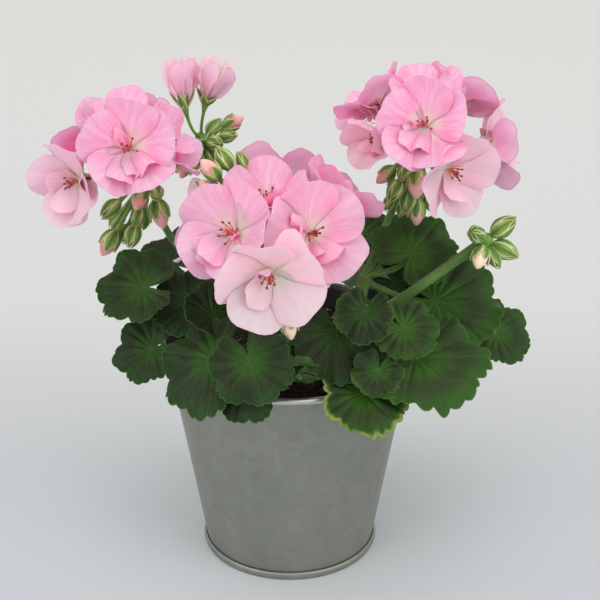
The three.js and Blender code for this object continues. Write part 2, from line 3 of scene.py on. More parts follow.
import bpy
import numpy as np
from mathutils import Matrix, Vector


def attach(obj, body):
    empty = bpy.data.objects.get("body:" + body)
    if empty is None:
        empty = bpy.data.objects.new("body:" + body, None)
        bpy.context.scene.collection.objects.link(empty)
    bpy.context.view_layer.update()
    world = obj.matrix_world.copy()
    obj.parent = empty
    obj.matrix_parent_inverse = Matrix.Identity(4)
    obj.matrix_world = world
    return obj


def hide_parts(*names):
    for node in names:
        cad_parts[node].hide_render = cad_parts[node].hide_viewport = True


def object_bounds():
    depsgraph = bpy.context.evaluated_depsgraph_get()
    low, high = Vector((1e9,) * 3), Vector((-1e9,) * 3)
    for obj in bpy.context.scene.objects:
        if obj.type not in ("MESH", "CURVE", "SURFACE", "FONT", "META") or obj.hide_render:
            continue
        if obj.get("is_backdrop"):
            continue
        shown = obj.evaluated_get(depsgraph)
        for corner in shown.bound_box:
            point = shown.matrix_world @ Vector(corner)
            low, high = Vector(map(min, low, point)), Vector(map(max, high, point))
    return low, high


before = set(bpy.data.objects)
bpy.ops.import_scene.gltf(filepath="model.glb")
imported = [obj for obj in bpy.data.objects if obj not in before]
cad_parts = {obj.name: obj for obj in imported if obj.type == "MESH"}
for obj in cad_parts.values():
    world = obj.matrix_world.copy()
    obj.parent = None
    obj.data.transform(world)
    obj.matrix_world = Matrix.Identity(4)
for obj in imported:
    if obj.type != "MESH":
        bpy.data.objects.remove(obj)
cad_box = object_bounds()

# The pot's wall is one sheet of galvanised steel, rolled into a cone and lapped and soldered up the back.
# Its top edge is rolled outwards into a bead. The zinc has clouded to a soft grey with darker rubs.
MM = 0.001  # the tables are in millimetres
CREASE = math.radians(65)  # faces that meet more sharply than this have a crisp edge between them
POT_HEIGHT, RIM_RADIUS, SHEET = 117, 65, 0.9
WALL_FOOT_Z, WALL_FOOT_RADIUS, WALL_STEPS, AROUND_POT = 1.3, 42.8, 24, 180
BEAD_RADIUS, BEAD_NECK, BEAD_START, BEAD_SWEEP, BEAD_STEPS = 1.7, 2.4, -135, 288, 22
LAP_MIDDLE, LAP_WIDTH, LAP_PROUD = 90, 7, 0.5  # degrees round Z, then millimetres
LAP_EDGE = 0.4  # degrees on either side of the lap's edges, between which its step lies
OUT_OF_TRUE = 0.12  # the sheet isn't quite round, which the light along its side shows

neck_radius = RIM_RADIUS - 2 * BEAD_RADIUS + SHEET
wall_slope = (neck_radius - WALL_FOOT_RADIUS) / (POT_HEIGHT - BEAD_RADIUS - WALL_FOOT_Z)
lap_half = LAP_WIDTH / 2 / RIM_RADIUS


def wall_radius(z):
    return WALL_FOOT_RADIUS + wall_slope * (z - WALL_FOOT_Z)


def paint(red, green, blue):
    """A colour as a screen shows it, 0 to 255, made into the linear values that the nodes use."""
    share = np.array([red, green, blue]) / 255
    linear = np.where(share <= 0.04045, share / 12.92, ((share + 0.055) / 1.055) ** 2.4)
    return (*linear.tolist(), 1.0)


def turned(profile, angles, lift=None, solid=False):
    """A profile of (radius, height) points carried round Z. It is a closed loop, or with solid it starts and
    ends near the axis, and is capped there. lift adds to each point's radius."""
    rows, columns = len(profile), len(angles)
    r, z = np.array(profile, float).T
    radius = r[None, :] + (np.zeros((columns, rows)) if lift is None else lift)
    cosines, sines = np.cos(angles)[:, None], np.sin(angles)[:, None]
    points = np.stack([radius * cosines, radius * sines, np.broadcast_to(z, radius.shape)], -1)
    faces = []
    for k in range(columns):
        near, far = k * rows, ((k + 1) % columns) * rows
        for i in range(rows - 1 if solid else rows):
            j = (i + 1) % rows
            faces.append((near + i, far + i, far + j, near + j))
    if solid:
        faces.append(tuple(k * rows for k in reversed(range(columns))))
        faces.append(tuple(k * rows + rows - 1 for k in range(columns)))
    return {"points": points.reshape(-1, 3), "faces": faces}


def joined(forms):
    """Several forms as one. Each value that they carry for their points is kept."""
    faces, start = [], 0
    for form in forms:
        faces += [tuple(i + start for i in face) for face in form["faces"]]
        start += len(form["points"])
    kept = {key: np.concatenate([form[key] for form in forms]) for key in forms[0] if key != "faces"}
    return {**kept, "faces": faces}


def mesh_of(name, form, materials, face_finish=None):
    """A form as a mesh object in metres, with its uv and its other values as attributes."""
    mesh = bpy.data.meshes.new(name)
    mesh.from_pydata((form["points"] * MM).tolist(), [], form["faces"])
    for material in materials:
        mesh.materials.append(material)
    if face_finish is not None:
        mesh.polygons.foreach_set("material_index", face_finish)
    corners = np.zeros(len(mesh.loops), int)
    mesh.loops.foreach_get("vertex_index", corners)
    for key, values in form.items():
        if key == "uv":
            mesh.uv_layers.new(name="uv").data.foreach_set("uv", values[corners].astype(np.float32).ravel())
        elif key not in ("points", "faces"):
            kind, field = ("FLOAT_VECTOR", "vector") if values.ndim == 2 else ("FLOAT", "value")
            attribute = mesh.attributes.new(key, kind, "POINT")
            attribute.data.foreach_set(field, values.astype(np.float32).ravel())
    mesh.shade_smooth()
    mesh.set_sharp_from_angle(angle=CREASE)
    return shown(name, mesh)


def shown(name, data):
    made = bpy.data.objects.new(name, data)
    bpy.context.scene.collection.objects.link(made)
    return made


def settle(made, slot, *nodes):
    """Makes an object a piece of the plant: it rides on the body and stands for the CAD nodes."""
    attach(made, "root")
    if nodes:
        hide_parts(*nodes)


class Value:
    """An output of a node in a tree. Sums with it add Math nodes to that tree."""

    def __init__(self, tree, socket):
        self.tree, self.socket = tree, socket

    def __add__(self, other):
        return calc("ADD", self, other)

    def __sub__(self, other):
        return calc("SUBTRACT", self, other)

    def __rsub__(self, other):
        return calc("SUBTRACT", other, self)

    def __mul__(self, other):
        return calc("MULTIPLY", self, other)

    def __truediv__(self, other):
        return calc("DIVIDE", self, other)


def put(tree, kind, given, pick=0, **settings):
    """A new node. given has a number, colour or Value for each input. pick says which output is wanted, or
    which ones."""
    node = tree.nodes.new(kind)
    for name, value in settings.items():
        setattr(node, name, value)
    for key, value in given.items():
        if isinstance(value, Value):
            tree.links.new(value.socket, node.inputs[key])
        else:
            node.inputs[key].default_value = value
    if isinstance(pick, tuple):
        return [Value(tree, node.outputs[key]) for key in pick]
    return Value(tree, node.outputs[pick])


def calc(operation, *terms, clamp=False):
    """A Math node on numbers and Values, of which one at least is a Value."""
    tree = next(term.tree for term in terms if isinstance(term, Value))
    return put(tree, "ShaderNodeMath", dict(enumerate(terms)), operation=operation, use_clamp=clamp)


def vectors(operation, first, given, pick=0):
    """A Vector Math node. given has what its inputs after the first are set to."""
    return put(first.tree, "ShaderNodeVectorMath", {0: first, **given}, pick, operation=operation)


def split(vector):
    return put(vector.tree, "ShaderNodeSeparateXYZ", {0: vector}, (0, 1, 2))


def flat(x, y):
    return put(x.tree, "ShaderNodeCombineXYZ", {0: x, 1: y})


def mixed(share, first, second):
    """Two colours mixed by a share. A colour is a mix, or three numbers for paint."""
    first, second = (paint(*colour) if isinstance(colour, tuple) else colour for colour in (first, second))
    return put(share.tree, "ShaderNodeMix", {0: share, 6: first, 7: second}, 2, data_type="RGBA")


def layered(tone, *layers):
    """A colour with others laid over it in turn, each by its share."""
    for share, colour in layers:
        tone = mixed(share, tone, colour)
    return tone


def fade(value, start, end, low=0.0, high=1.0):
    """A value made to run smoothly from low to high as it goes from start to end."""
    given = {"Value": value, "From Min": start, "From Max": end, "To Min": low, "To Max": high}
    return put(value.tree, "ShaderNodeMapRange", given, interpolation_type="SMOOTHSTEP")


def object_place(tree):
    return put(tree, "ShaderNodeTexCoord", {}, "Object")


def new_group(name, kind, inputs, outputs):
    """An empty node group. An input has its first value or the name of its type, and an output its type."""
    tree = bpy.data.node_groups.new(name, kind)
    for label, value in inputs.items():
        typed = value if isinstance(value, str) else type(value).__name__.title()
        made = tree.interface.new_socket(label, in_out="INPUT", socket_type="NodeSocket" + typed)
        if typed is not value:
            made.default_value = value
    for label, typed in outputs.items():
        tree.interface.new_socket(label, in_out="OUTPUT", socket_type="NodeSocket" + typed)
    given = {socket.name: Value(tree, socket) for socket in tree.nodes.new("NodeGroupInput").outputs}
    return tree, given, tree.nodes.new("NodeGroupOutput").inputs


def new_material(name, finish, **values):
    """A Principled material whose even values are set on its own sockets. finish gives what is linked."""
    material = bpy.data.materials.new(name)
    material.use_nodes = True
    tree = material.node_tree
    shader = tree.nodes["Principled BSDF"]
    for label, value in values.items():
        shader.inputs[label.replace("_", " ")].default_value = value
    for label, value in finish(tree).items():
        tree.links.new(value.socket, shader.inputs[label])
    return material


def bumped(height, strength, distance):
    """A normal from a height. The distance is in millimetres."""
    given = {"Height": height, "Strength": strength, "Distance": distance * MM}
    return put(height.tree, "ShaderNodeBump", given)


def surface(tone, small, smooth, rough, relief):
    """What most finishes link: a colour, a roughness that runs with the small patches, and a relief."""
    return {"Base Color": tone, "Roughness": fade(small, 0, 1, smooth, rough), "Normal": bumped(*relief)}


# Soft patches of a value between 0 and 1, of a given size, for anything that is unevenly coloured
mottle, given, result = new_group(
    "mottle",
    "ShaderNodeTree",
    {"Place": "Vector", "Patches Per Metre": 60.0, "Fineness": 4.0, "Low": 0.35, "High": 0.65},
    {"Patches": "Float"},
)
sizes = {"Vector": given["Place"], "Scale": given["Patches Per Metre"], "Detail": given["Fineness"]}
cloud = put(mottle, "ShaderNodeTexNoise", {**sizes, "Roughness": 0.6})
mottle.links.new(fade(cloud, given["Low"], given["High"]).socket, result["Patches"])


def patches(place, per_metre, fineness=4.0, low=0.35, high=0.65):
    sizes = {"Patches Per Metre": per_metre, "Fineness": fineness, "Low": low, "High": high}
    return put(place.tree, "ShaderNodeGroup", {"Place": place, **sizes}, "Patches", node_tree=mottle)


def zinc_finish(tree):
    place = object_place(tree)
    broad, small = patches(place, 22, 3, 0.3, 0.7), patches(place, 160, 5, 0.3, 0.72)
    drawn = put(tree, "ShaderNodeMapping", {"Vector": place, "Scale": (1.0, 1.0, 0.12)})
    streaks = patches(drawn, 90, 4, 0.35, 0.75)
    spangle = put(tree, "ShaderNodeTexVoronoi", {"Vector": place, "Scale": 130.0}, "Color")
    grain = put(tree, "ShaderNodeSeparateColor", {0: spangle})
    # The bead is painted brighter, partly as rubbed wear and partly as a painted highlight along the rim, and
    # everything inside the wall's outer face, the inside of the sheet and the pan, is painted dark brown and
    # made less metallic
    x, y, z = split(place)
    # painted highlight: the bead is painted near white, partly rubbed wear and partly the light along the rim
    rubbed_and_highlit = fade(z, (POT_HEIGHT - 2 * BEAD_RADIUS - 0.2) * MM, (POT_HEIGHT - BEAD_RADIUS) * MM)
    outside = calc("MULTIPLY_ADD", z, wall_slope, wall_radius(0) * MM)
    inwards = outside - vectors("LENGTH", flat(x, y), {}, "Value")
    # everything inside the wall's outer face, the inside of the sheet and the pan, is painted dark brown and
    # made less metallic
    inside_darkened = fade(inwards, 0.4 * SHEET * MM, 0.8 * SHEET * MM)
    tone = layered(
        mixed(broad, (146, 148, 139), (156, 157, 148)),
        (small * 0.3, (134, 135, 124)),
        (streaks * 0.18, (164, 165, 158)),
        (grain * 0.12, (122, 122, 112)),
        (rubbed_and_highlit * 0.75, (212, 212, 206)),
        (inside_darkened * 0.8, mixed(small, (58, 50, 42), (30, 25, 21))),
    )
    rough = fade(broad, 0, 1, 0.4, 0.47) + grain * 0.05 + small * 0.06 - rubbed_and_highlit * 0.16
    relief = bumped(small * 0.6 + grain * 0.25, 0.25, 0.12)
    bare = fade(inside_darkened, 0, 1, 0.85, 0.2)
    return {"Base Color": tone, "Metallic": bare, "Roughness": rough, "Normal": relief}


zinc = new_material("zinc", zinc_finish)


def ring_angles():
    """Even steps round the pot, with closer ones where the lap's edges step up."""
    even = np.linspace(0, 360, AROUND_POT, endpoint=False)
    half = math.degrees(lap_half)
    steps = [LAP_MIDDLE + side * (half + gap) for side in (-1, 1) for gap in (-LAP_EDGE, LAP_EDGE)]
    return np.radians(np.sort(np.concatenate([even, steps])))


def wall():
    middle, centre = POT_HEIGHT - BEAD_RADIUS, RIM_RADIUS - BEAD_RADIUS
    turns = np.radians(BEAD_START + BEAD_SWEEP * np.linspace(0, 1, BEAD_STEPS))
    bead = [(centre + BEAD_RADIUS * math.cos(t), middle + BEAD_RADIUS * math.sin(t)) for t in turns]
    heights = np.linspace(WALL_FOOT_Z, middle - BEAD_NECK, WALL_STEPS)
    outer = [(wall_radius(z), z) for z in heights]
    inner = [(wall_radius(z) - SHEET, z) for z in heights[::-1]]
    profile, angles = outer + bead + inner, ring_angles()
    lift = np.zeros((len(angles), len(profile)))
    lift[np.abs(angles - math.radians(LAP_MIDDLE)) < lap_half, :WALL_STEPS] = LAP_PROUD
    wave = OUT_OF_TRUE * np.sin(3 * angles)[:, None] * np.sin(np.linspace(0, np.pi, WALL_STEPS))[None, :]
    lift[:, :WALL_STEPS] += wave
    lift[:, -WALL_STEPS:] += wave[:, ::-1]
    return turned(profile, angles, lift)


settle(mesh_of("pot_wall_sheet", wall(), [zinc]), "zinc", "pot_wall")

# The pot's base is a pan pressed from the same sheet. Its edge is folded up round the foot of the wall
# and crimped, which makes the band that the pot stands on.
SEAM_PROFILE = [(43.5, 0), (44.1, 0.2), (44.5, 0.8), (44.7, 1.7), (44.7, 2.6), (44.6, 3.4), (44.3, 4.0)]
FLOOR_RADII, FLOOR, UNDERSIDE = (38, 30, 20, 10, 2), 1, 0.3
FOLD_FOOT = [(40.5, 0.2), (42, 0)]
FOOT_GAP, LIP_SPREAD = 0.3, 0.15


def pan():
    inside, seam_top = WALL_FOOT_RADIUS + FOOT_GAP, SEAM_PROFILE[-1][1]
    lip = [(inside + wall_slope * (seam_top - FLOOR) + LIP_SPREAD, seam_top + LIP_SPREAD), (inside, FLOOR)]
    floor = [(r, FLOOR) for r in FLOOR_RADII]
    under = [(r, UNDERSIDE) for r in FLOOR_RADII[::-1]]
    angles = np.linspace(0, 2 * np.pi, AROUND_POT, endpoint=False)
    return turned(under + FOLD_FOOT + SEAM_PROFILE + lip + floor, angles, solid=True)


settle(mesh_of("pot_base_pan", pan(), [zinc]), "zinc", "pot_base")

# The soil is peat and bark, a little below the rim, watered often and so uneven, with loose crumbs of
# bark and white grains of perlite lying on it.
SOIL_TOP, SOIL_BOTTOM, SOIL_GAP = 104, 1.3, 0.35
SOIL_RINGS, SOIL_AROUND, FIRST_RING = 34, 120, 1.5
CRUMB, FINE_CRUMB, GRIT = 1.1, 0.35, 0.16
EDGE_WIDTH = 6  # the soil lies even this near the pot
HOLE_RADIUS, HOLE_DEPTH = 13.5, 5.4  # round the crown
LYING_FROM = 0.7  # grains lie where the soil's normal rises more than this
BALL_EDGE, ROUGHNESS = 1.2, 0.22  # corners of a ball nearer than this are joined, and how uneven a grain is
GRAINS = (  # name, one grain's sizes and seed, how many on a square metre, smallest and largest, and seed
    ("bark_crumbs", (1.5, 0.9, 0.5), 3, 1.6e5, 0.4, 1.5, 4),
    ("perlite_grains", (0.9, 0.8, 0.7), 5, 9e3, 0.5, 1.3, 9),
)


def soil_body():
    rim, foot = (wall_radius(z) - SHEET - SOIL_GAP for z in (SOIL_TOP, SOIL_BOTTOM))
    turns = np.linspace(0, 2 * np.pi, SOIL_AROUND, endpoint=False)
    reach = np.linspace(FIRST_RING, rim, SOIL_RINGS)
    r, turn = np.meshgrid(reach, turns)
    crumbs = CRUMB * np.sin(0.55 * r + 3 * turn) * np.cos(5 * turn - 0.3 * r)
    fine = FINE_CRUMB * np.sin(2.1 * r + 7 * turn) * np.sin(9 * turn + 0.7 * r)
    fine += np.random.default_rng(7).normal(0, GRIT, r.shape)
    hole = HOLE_DEPTH * np.clip(1 - r / HOLE_RADIUS, 0, 1) ** 2
    top = SOIL_TOP + (crumbs + fine) * np.clip((rim - r) / EDGE_WIDTH, 0, 1) - hole
    profile = [(2, SOIL_BOTTOM), (foot, SOIL_BOTTOM)] + [(x, SOIL_TOP) for x in reach[::-1]]
    form = turned(profile, turns, solid=True)
    form["points"].reshape(SOIL_AROUND, -1, 3)[:, 2:, 2] = top[:, ::-1]
    return form


def soil_finish(tree):
    place = object_place(tree)
    broad, small = patches(place, 60, 5), patches(place, 420, 6, 0.3, 0.7)
    tone = mixed(small * 0.7, mixed(broad, (38, 27, 20), (62, 46, 34)), (20, 14, 11))
    return surface(tone, small, 0.8, 0.98, (broad + small, 0.8, 0.8))


def bark_finish(tree):
    place = object_place(tree)
    broad, small = patches(place, 180, 2), patches(place, 700, 4)
    tone = mixed(small * 0.5, mixed(broad, (48, 33, 24), (92, 66, 44)), (30, 21, 16))
    return surface(tone, small, 0.75, 0.95, (small, 0.6, 0.3))


def perlite_finish(tree):
    small = patches(object_place(tree), 900, 4)
    return surface(mixed(small, (214, 210, 200), (178, 170, 156)), small, 0.8, 0.95, (small, 0.7, 0.3))


def chance(low, high, seed, vector=False):
    """A random value for each point, or with vector three of them."""
    first, pick, kind = (0, 0, "FLOAT_VECTOR") if vector else (2, 1, "FLOAT")
    given = {first: low, first + 1: high, "Seed": seed}
    return put(seed.tree, "FunctionNodeRandomValue", given, pick, data_type=kind)


def copies(tree, given, result, points, turn, size):
    """How each geometry tree ends: its part stands on the points as real mesh, in its finish."""
    part = put(tree, "GeometryNodeObjectInfo", {"Object": given["Part"]}, "Geometry")
    placed = {"Points": points, "Instance": part, "Rotation": turn, "Scale": size}
    whole = put(tree, "GeometryNodeRealizeInstances", {0: put(tree, "GeometryNodeInstanceOnPoints", placed)})
    made = put(tree, "GeometryNodeSetMaterial", {"Geometry": whole, "Material": given["Finish"]})
    tree.links.new(made.socket, result["Made"])
    return tree


def strewn_tree():
    """Grains strewn over the upward faces of a mesh, each turned and sized at random."""
    inputs = {"Ground": "Geometry", "Part": "Object", "Per Square Metre": 1e5, "Smallest": 0.5}
    inputs |= {"Largest": 1.5, "Seed": 1, "Finish": "Material"}
    tree, given, result = new_group("strewn grains", "GeometryNodeTree", inputs, {"Made": "Geometry"})
    seed = given["Seed"]
    _, _, upward = split(put(tree, "GeometryNodeInputNormal", {}))
    compared = {"data_type": "FLOAT", "operation": "GREATER_THAN"}
    facing = put(tree, "FunctionNodeCompare", {0: upward, 1: LYING_FROM}, **compared)
    density = {"Mesh": given["Ground"], "Selection": facing, "Density": given["Per Square Metre"]}
    spots = put(tree, "GeometryNodeDistributePointsOnFaces", {**density, "Seed": seed}, "Points")
    turn = chance((0.0, 0.0, 0.0), (6.28, 6.28, 6.28), seed, vector=True)
    return copies(tree, given, result, spots, turn, chance(given["Smallest"], given["Largest"], seed))


def grown(name, base, tree, **given):
    """A geometry tree run on a base object, and its result as a plain mesh object."""
    modifier = base.modifiers.new(tree.name, "NODES")
    modifier.node_group = tree
    for item in tree.interface.items_tree:
        key = item.name.replace(" ", "_").lower()
        if item.in_out == "INPUT" and key in given:
            modifier[item.identifier] = given[key]
    bpy.context.view_layer.update()
    mesh = bpy.data.meshes.new_from_object(base.evaluated_get(bpy.context.evaluated_depsgraph_get()))
    base.modifiers.remove(modifier)
    mesh.name = name
    return shown(name, mesh)


def put_away(*helpers):
    """Shapes that only a geometry tree uses are removed once it has run."""
    for helper in helpers:
        bpy.data.objects.remove(helper)


def pebble(sizes, seed):
    """One rough grain, from a ball of 20 faces."""
    golden = (1 + 5**0.5) / 2
    corners = [(0, a, b * golden) for a in (-1, 1) for b in (-1, 1)]
    corners += [(a, b * golden, 0) for a in (-1, 1) for b in (-1, 1)]
    corners += [(b * golden, 0, a) for a in (-1, 1) for b in (-1, 1)]
    ball = np.array(corners, float) / (1 + golden**2) ** 0.5
    near = np.linalg.norm(ball[:, None] - ball[None, :], axis=2) < BALL_EDGE
    faces = []
    for i in range(12):
        for j in range(i + 1, 12):
            for k in range(j + 1, 12):
                if near[i, j] and near[j, k] and near[i, k]:
                    out = np.dot(np.cross(ball[j] - ball[i], ball[k] - ball[i]), ball[i]) > 0
                    faces.append((i, j, k) if out else (i, k, j))
    rough = 1 + np.random.default_rng(seed).uniform(-ROUGHNESS, ROUGHNESS, 12)
    return mesh_of("grain", {"points": ball * rough[:, None] * sizes, "faces": faces}, [])


soil_mix = new_material("soil_mix", soil_finish)
bark, perlite = new_material("bark", bark_finish), new_material("perlite", perlite_finish)
soil = mesh_of("soil_bed", soil_body(), [soil_mix])
strewn = strewn_tree()
for finish, (name, sizes, form_seed, dense, smallest, largest, seed) in zip((bark, perlite), GRAINS):
    grain = pebble(sizes, form_seed)
    given = {"per_square_metre": dense, "smallest": smallest, "largest": largest, "seed": seed}
    settle(grown(name, soil, strewn, part=grain, finish=finish, **given), "soil")
    put_away(grain)
settle(soil, "soil", "soil")

# The stems: a root crown in the soil, four fleshy shoots, a stalk for each leaf and a taller one for each
# flower head. Old wood is brown, and young stalks are green and downy, with small papery stipules.
CROWN_RINGS = [(0, 2.5), (1, 4.9), (6, 7), (12, 5.6), (15.4, 2)]  # distance up from the crown's foot, radius
CROWN_FOOT, CROWN_STEPS = 95, 9
SHOOTS = {
    "left": [(-2, 0, 100), (-14, -6, 116), (-26, -12, 134), (-32, -10, 152)],
    "front": [(0, -2, 100), (3, -14, 114), (6, -26, 128), (4, -30, 142)],
    "right": [(2, 1, 100), (16, -2, 115), (30, -6, 132), (38, -2, 152)],
    "back": [(0, 3, 100), (2, 18, 116), (0, 30, 136), (-2, 34, 156)],
}
SHOOT_FOOT, SHOOT_TAPER, SCARS, SCAR_PROUD, SCAR_FROM = 4.6, 1.4, 7, 0.35, 0.6
STALK_RADII = (2.0, 1.7, 1.5, 1.4, 1.25, 1.25, 1.5)
FLOWER_STALK_SWELL = (0.9, 0.35, 0.2, 0.1, 0, 0, 0.2)
RIM_PASS = 9  # how far over the rim a leaf stalk bends
STALK_UNDER, STALK_BEHIND = 0.3, 0.25  # where it bends, under and behind the blade's foot, in its reaches
# Each leaf: its shoot and how far up it grows, where its stalk meets the blade, the blade's reach, the way it
# faces (degrees round Z and above the horizon), the way its middle vein runs, and its form: cup, fold, curl,
# wave, and where the wave starts.
LEAVES = {
    "left_upper": ("left", 0.9, (-70, -30, 160), 23, (-108, 56), 170, (0.05, 0, -0.1, 0.08, 0)),
    "left_lower": ("left", 0.6, (-66, -42, 133), 19.5, (-116, 44), -165, (0.05, 0, -0.08, 0.05, 1)),
    "left_behind": ("left", 0.95, (-58, 16, 150), 20, (-100, 66), 130, (0.08, 0, -0.15, 0.07, 2)),
    "left_inner": ("left", 0.75, (-47, -30, 151), 21, (-96, 54), -178, (0.06, 0, -0.06, 0.05, 3)),
    "left_front": ("left", 0.4, (-35, -67.6, 140.8), 29, (-124, 54), -150, (0.02, -0.16, -0.22, 0.1, 1.4)),
    "front_rim": ("front", 0.7, (-18, -82.6, 148.8), 22, (-88, 26), -80, (0.04, -0.08, -0.04, 0.06, 0.5)),
    "front_under": ("front", 0.3, (-21, -76, 131), 18, (-96, 40), -70, (0.03, -0.05, -0.03, 0.06, 2.2)),
    "left_folded": ("left", 0.97, (-36, -45.8, 152.9), 16, (-56, 50), 160, (0.08, 0.3, 0.05, 0.08, 0.9)),
    "left_edgeways": ("front", 0.95, (-23, -48, 156), 15, (20, 20), -70, (0.05, 0.1, 0, 0.06, 2)),
    "middle_right": ("front", 0.85, (22, -50, 147), 26, (-80, 40), -76, (0.04, 0.06, -0.04, 0.05, 1)),
    "middle_low": ("front", 0.5, (-5, -58, 137), 16, (-95, 48), -120, (0.05, 0.05, -0.08, 0.08, 1.7)),
    "middle_turned": ("front", 0.2, (4, -61, 130.5), 15, (84, 30), -170, (0.05, 0.05, 0.05, 0.07, 5)),
    "right_pale": ("right", 0.8, (36, -54, 159), 16, (-92, 34), -100, (0.06, 0.05, -0.05, 0.12, 0.3)),
    "right_inner": ("right", 0.7, (54, -48.7, 147.4), 18, (-86, 54), -50, (0.06, 0.05, -0.08, 0.07, 1.8)),
    "right_crinkled": ("right", 0.35, (42, -66, 134), 14, (-80, 50), -100, (0.06, 0.08, -0.06, 0.09, 3.3)),
    "right_front": ("right", 0.5, (60, -48.3, 131.6), 37, (-72, 76), -50, (0.03, 0, -0.08, 0.07, 2.4)),
    "right_gilded": ("right", 0.3, (35, -68, 123), 24, (-90, 70), -50, (0.02, -0.12, -0.16, 0.09, 0.7)),
    "right_large": ("right", 0.95, (72, -10.4, 142.2), 33, (-88, 52), -22, (0.03, -0.05, -0.08, 0.07, 0.2)),
    "right_far": ("right", 0.65, (103, -4, 121), 19, (-66, 50), -10, (0.05, 0.05, -0.12, 0.07, 2.9)),
    "right_top": ("right", 1, (60, 0, 163), 24, (-84, 56), 60, (0.05, 0.05, -0.1, 0.07, 1.1)),
    "middle_top": ("right", 0.98, (33, 25, 161), 20, (-95, 60), -70, (0.06, 0.05, -0.08, 0.07, 3.9)),
    "middle_inner": ("right", 0.6, (53, 12, 141), 20, (-88, 56), -40, (0.06, 0, -0.08, 0.07, 2.1)),
    "back_right": ("right", 0.6, (64, 60, 138), 33, (60, 50), 45, (0.05, 0, -0.15, 0.07, 0.6)),
    "back_right_low": ("back", 0.45, (34, 74, 118), 26, (70, 40), 50, (0.04, 0, -0.15, 0.06, 1.9)),
    "back_middle": ("back", 0.9, (6, 54, 156), 33, (90, 56), 84, (0.05, 0.04, -0.12, 0.07, 2.7)),
    "back_middle_low": ("back", 0.3, (-14, 74, 124), 28, (95, 40), 110, (0.04, -0.05, -0.12, 0.06, 4.4)),
    "back_left": ("back", 0.7, (-50, 54, 144), 31, (125, 50), 130, (0.05, 0, -0.12, 0.07, 5.2)),
    "back_left_low": ("left", 0.5, (-66, 12, 129), 23, (165, 46), 175, (0.05, 0.04, -0.15, 0.06, 0.4)),
}
BLADE_HALF, BLADE_SEAT = 0.5, 0.5
# Each flower stalk: its shoot and how far up, the point it passes, the hub of its head, and its radius
FLOWER_STALKS = {
    "left": ("left", 0.85, (-60, 0, 176), (-66, 2, 202), 1.7),
    "back": ("back", 0.8, (-22, 46, 176), (-42, 60, 195), 1.6),
    "middle": ("front", 0.9, (-2, -34, 166), (-6, -36, 186), 2),
    "right": ("right", 0.95, (52, 16, 182), (62, 12, 212), 1.8),
    "bud": ("right", 0.5, (50, -27, 149), (91, -21, 178), 2.3),
}
CLEARANCE, INTO_KNOB = 0.35, 1.5
HAIR_LENGTH, HAIR_RADIUS = 0.75, 0.03
STIPULE_ROWS = [(0, 1.5, 0), (1.2, 1.7, 0.35), (2.6, 1.2, 0.6), (4, 0.12, 0.5)]  # up, half width, out


def unit(vector):
    return np.asarray(vector, float) / np.linalg.norm(vector)


def polar(azimuth, elevation):
    """The unit vector at an azimuth round Z from +X, and an elevation above the horizon."""
    a, e = math.radians(azimuth), math.radians(elevation)
    return np.array([math.cos(a) * math.cos(e), math.sin(a) * math.cos(e), math.sin(e)])


def through(points, count=200):
    """A smooth line through the points, at even steps of its length."""
    p = np.array(points, float)
    p = np.vstack([2 * p[0] - p[1], p, 2 * p[-1] - p[-2]])
    line = []
    for a, b, c, d in zip(p, p[1:], p[2:], p[3:]):
        before, along, after = (np.linalg.norm(v) ** 0.5 for v in (b - a, c - b, d - c))
        leave = ((b - a) / before - (c - a) / (before + along) + (c - b) / along) * along
        arrive = ((c - b) / along - (d - b) / (along + after) + (d - c) / after) * along
        t = np.linspace(0, 1, count, endpoint=False)[:, None]
        cubic, square = 2 * b - 2 * c + leave + arrive, -3 * b + 3 * c - 2 * leave - arrive
        line.append(b + leave * t + square * t**2 + cubic * t**3)
    return evened(np.vstack([*line, p[-2]]), count)


def evened(line, count):
    """A line with its points moved to even steps of its length."""
    run = np.concatenate([[0], np.cumsum(np.linalg.norm(np.diff(line, axis=0), axis=1))])
    steps = np.linspace(0, run[-1], count)
    return np.stack([np.interp(steps, run, line[:, i]) for i in range(3)], 1)


def tube(line, radii, sides=10, **values):
    """A round stalk along a line, closed at both ends. radii and values are spread along it."""
    line = np.asarray(line, float)
    count = len(line)

    def spread(listed):
        return np.interp(np.linspace(0, 1, count), np.linspace(0, 1, len(listed)), listed)

    way = np.gradient(line, axis=0)
    way /= np.linalg.norm(way, axis=1)[:, None]
    side = np.cross(way[0], (0.3, 0.9, 0.2))
    turn = np.linspace(0, 2 * np.pi, sides, endpoint=False)
    points = []
    for here, ahead, radius in zip(line, way, spread(radii)):
        side = unit(side - ahead * np.dot(side, ahead))
        up = np.cross(ahead, side)
        points.append(here + radius * (np.cos(turn)[:, None] * side + np.sin(turn)[:, None] * up))
    faces = [tuple(reversed(range(sides))), tuple((count - 1) * sides + k for k in range(sides))]
    for i in range(count - 1):
        for k in range(sides):
            j = (k + 1) % sides
            faces.append((i * sides + k, i * sides + j, (i + 1) * sides + j, (i + 1) * sides + k))
    carried_values = {key: np.repeat(spread(listed), sides) for key, listed in values.items()}
    return {"points": np.vstack(points), "faces": faces, **carried_values}


def blade_frame(face, vein):
    """The way a leaf blade's upper face looks, z, the way its middle vein runs, y, and x across it."""
    z = polar(*face)
    y = polar(vein, 0)
    y = unit(y - z * np.dot(y, z))
    return np.cross(y, z), y, z


shoot_lines = {name: through(points) for name, points in SHOOTS.items()}


def place_on(shoot, share):
    return shoot_lines[shoot][round(share * (len(shoot_lines[shoot]) - 1))]


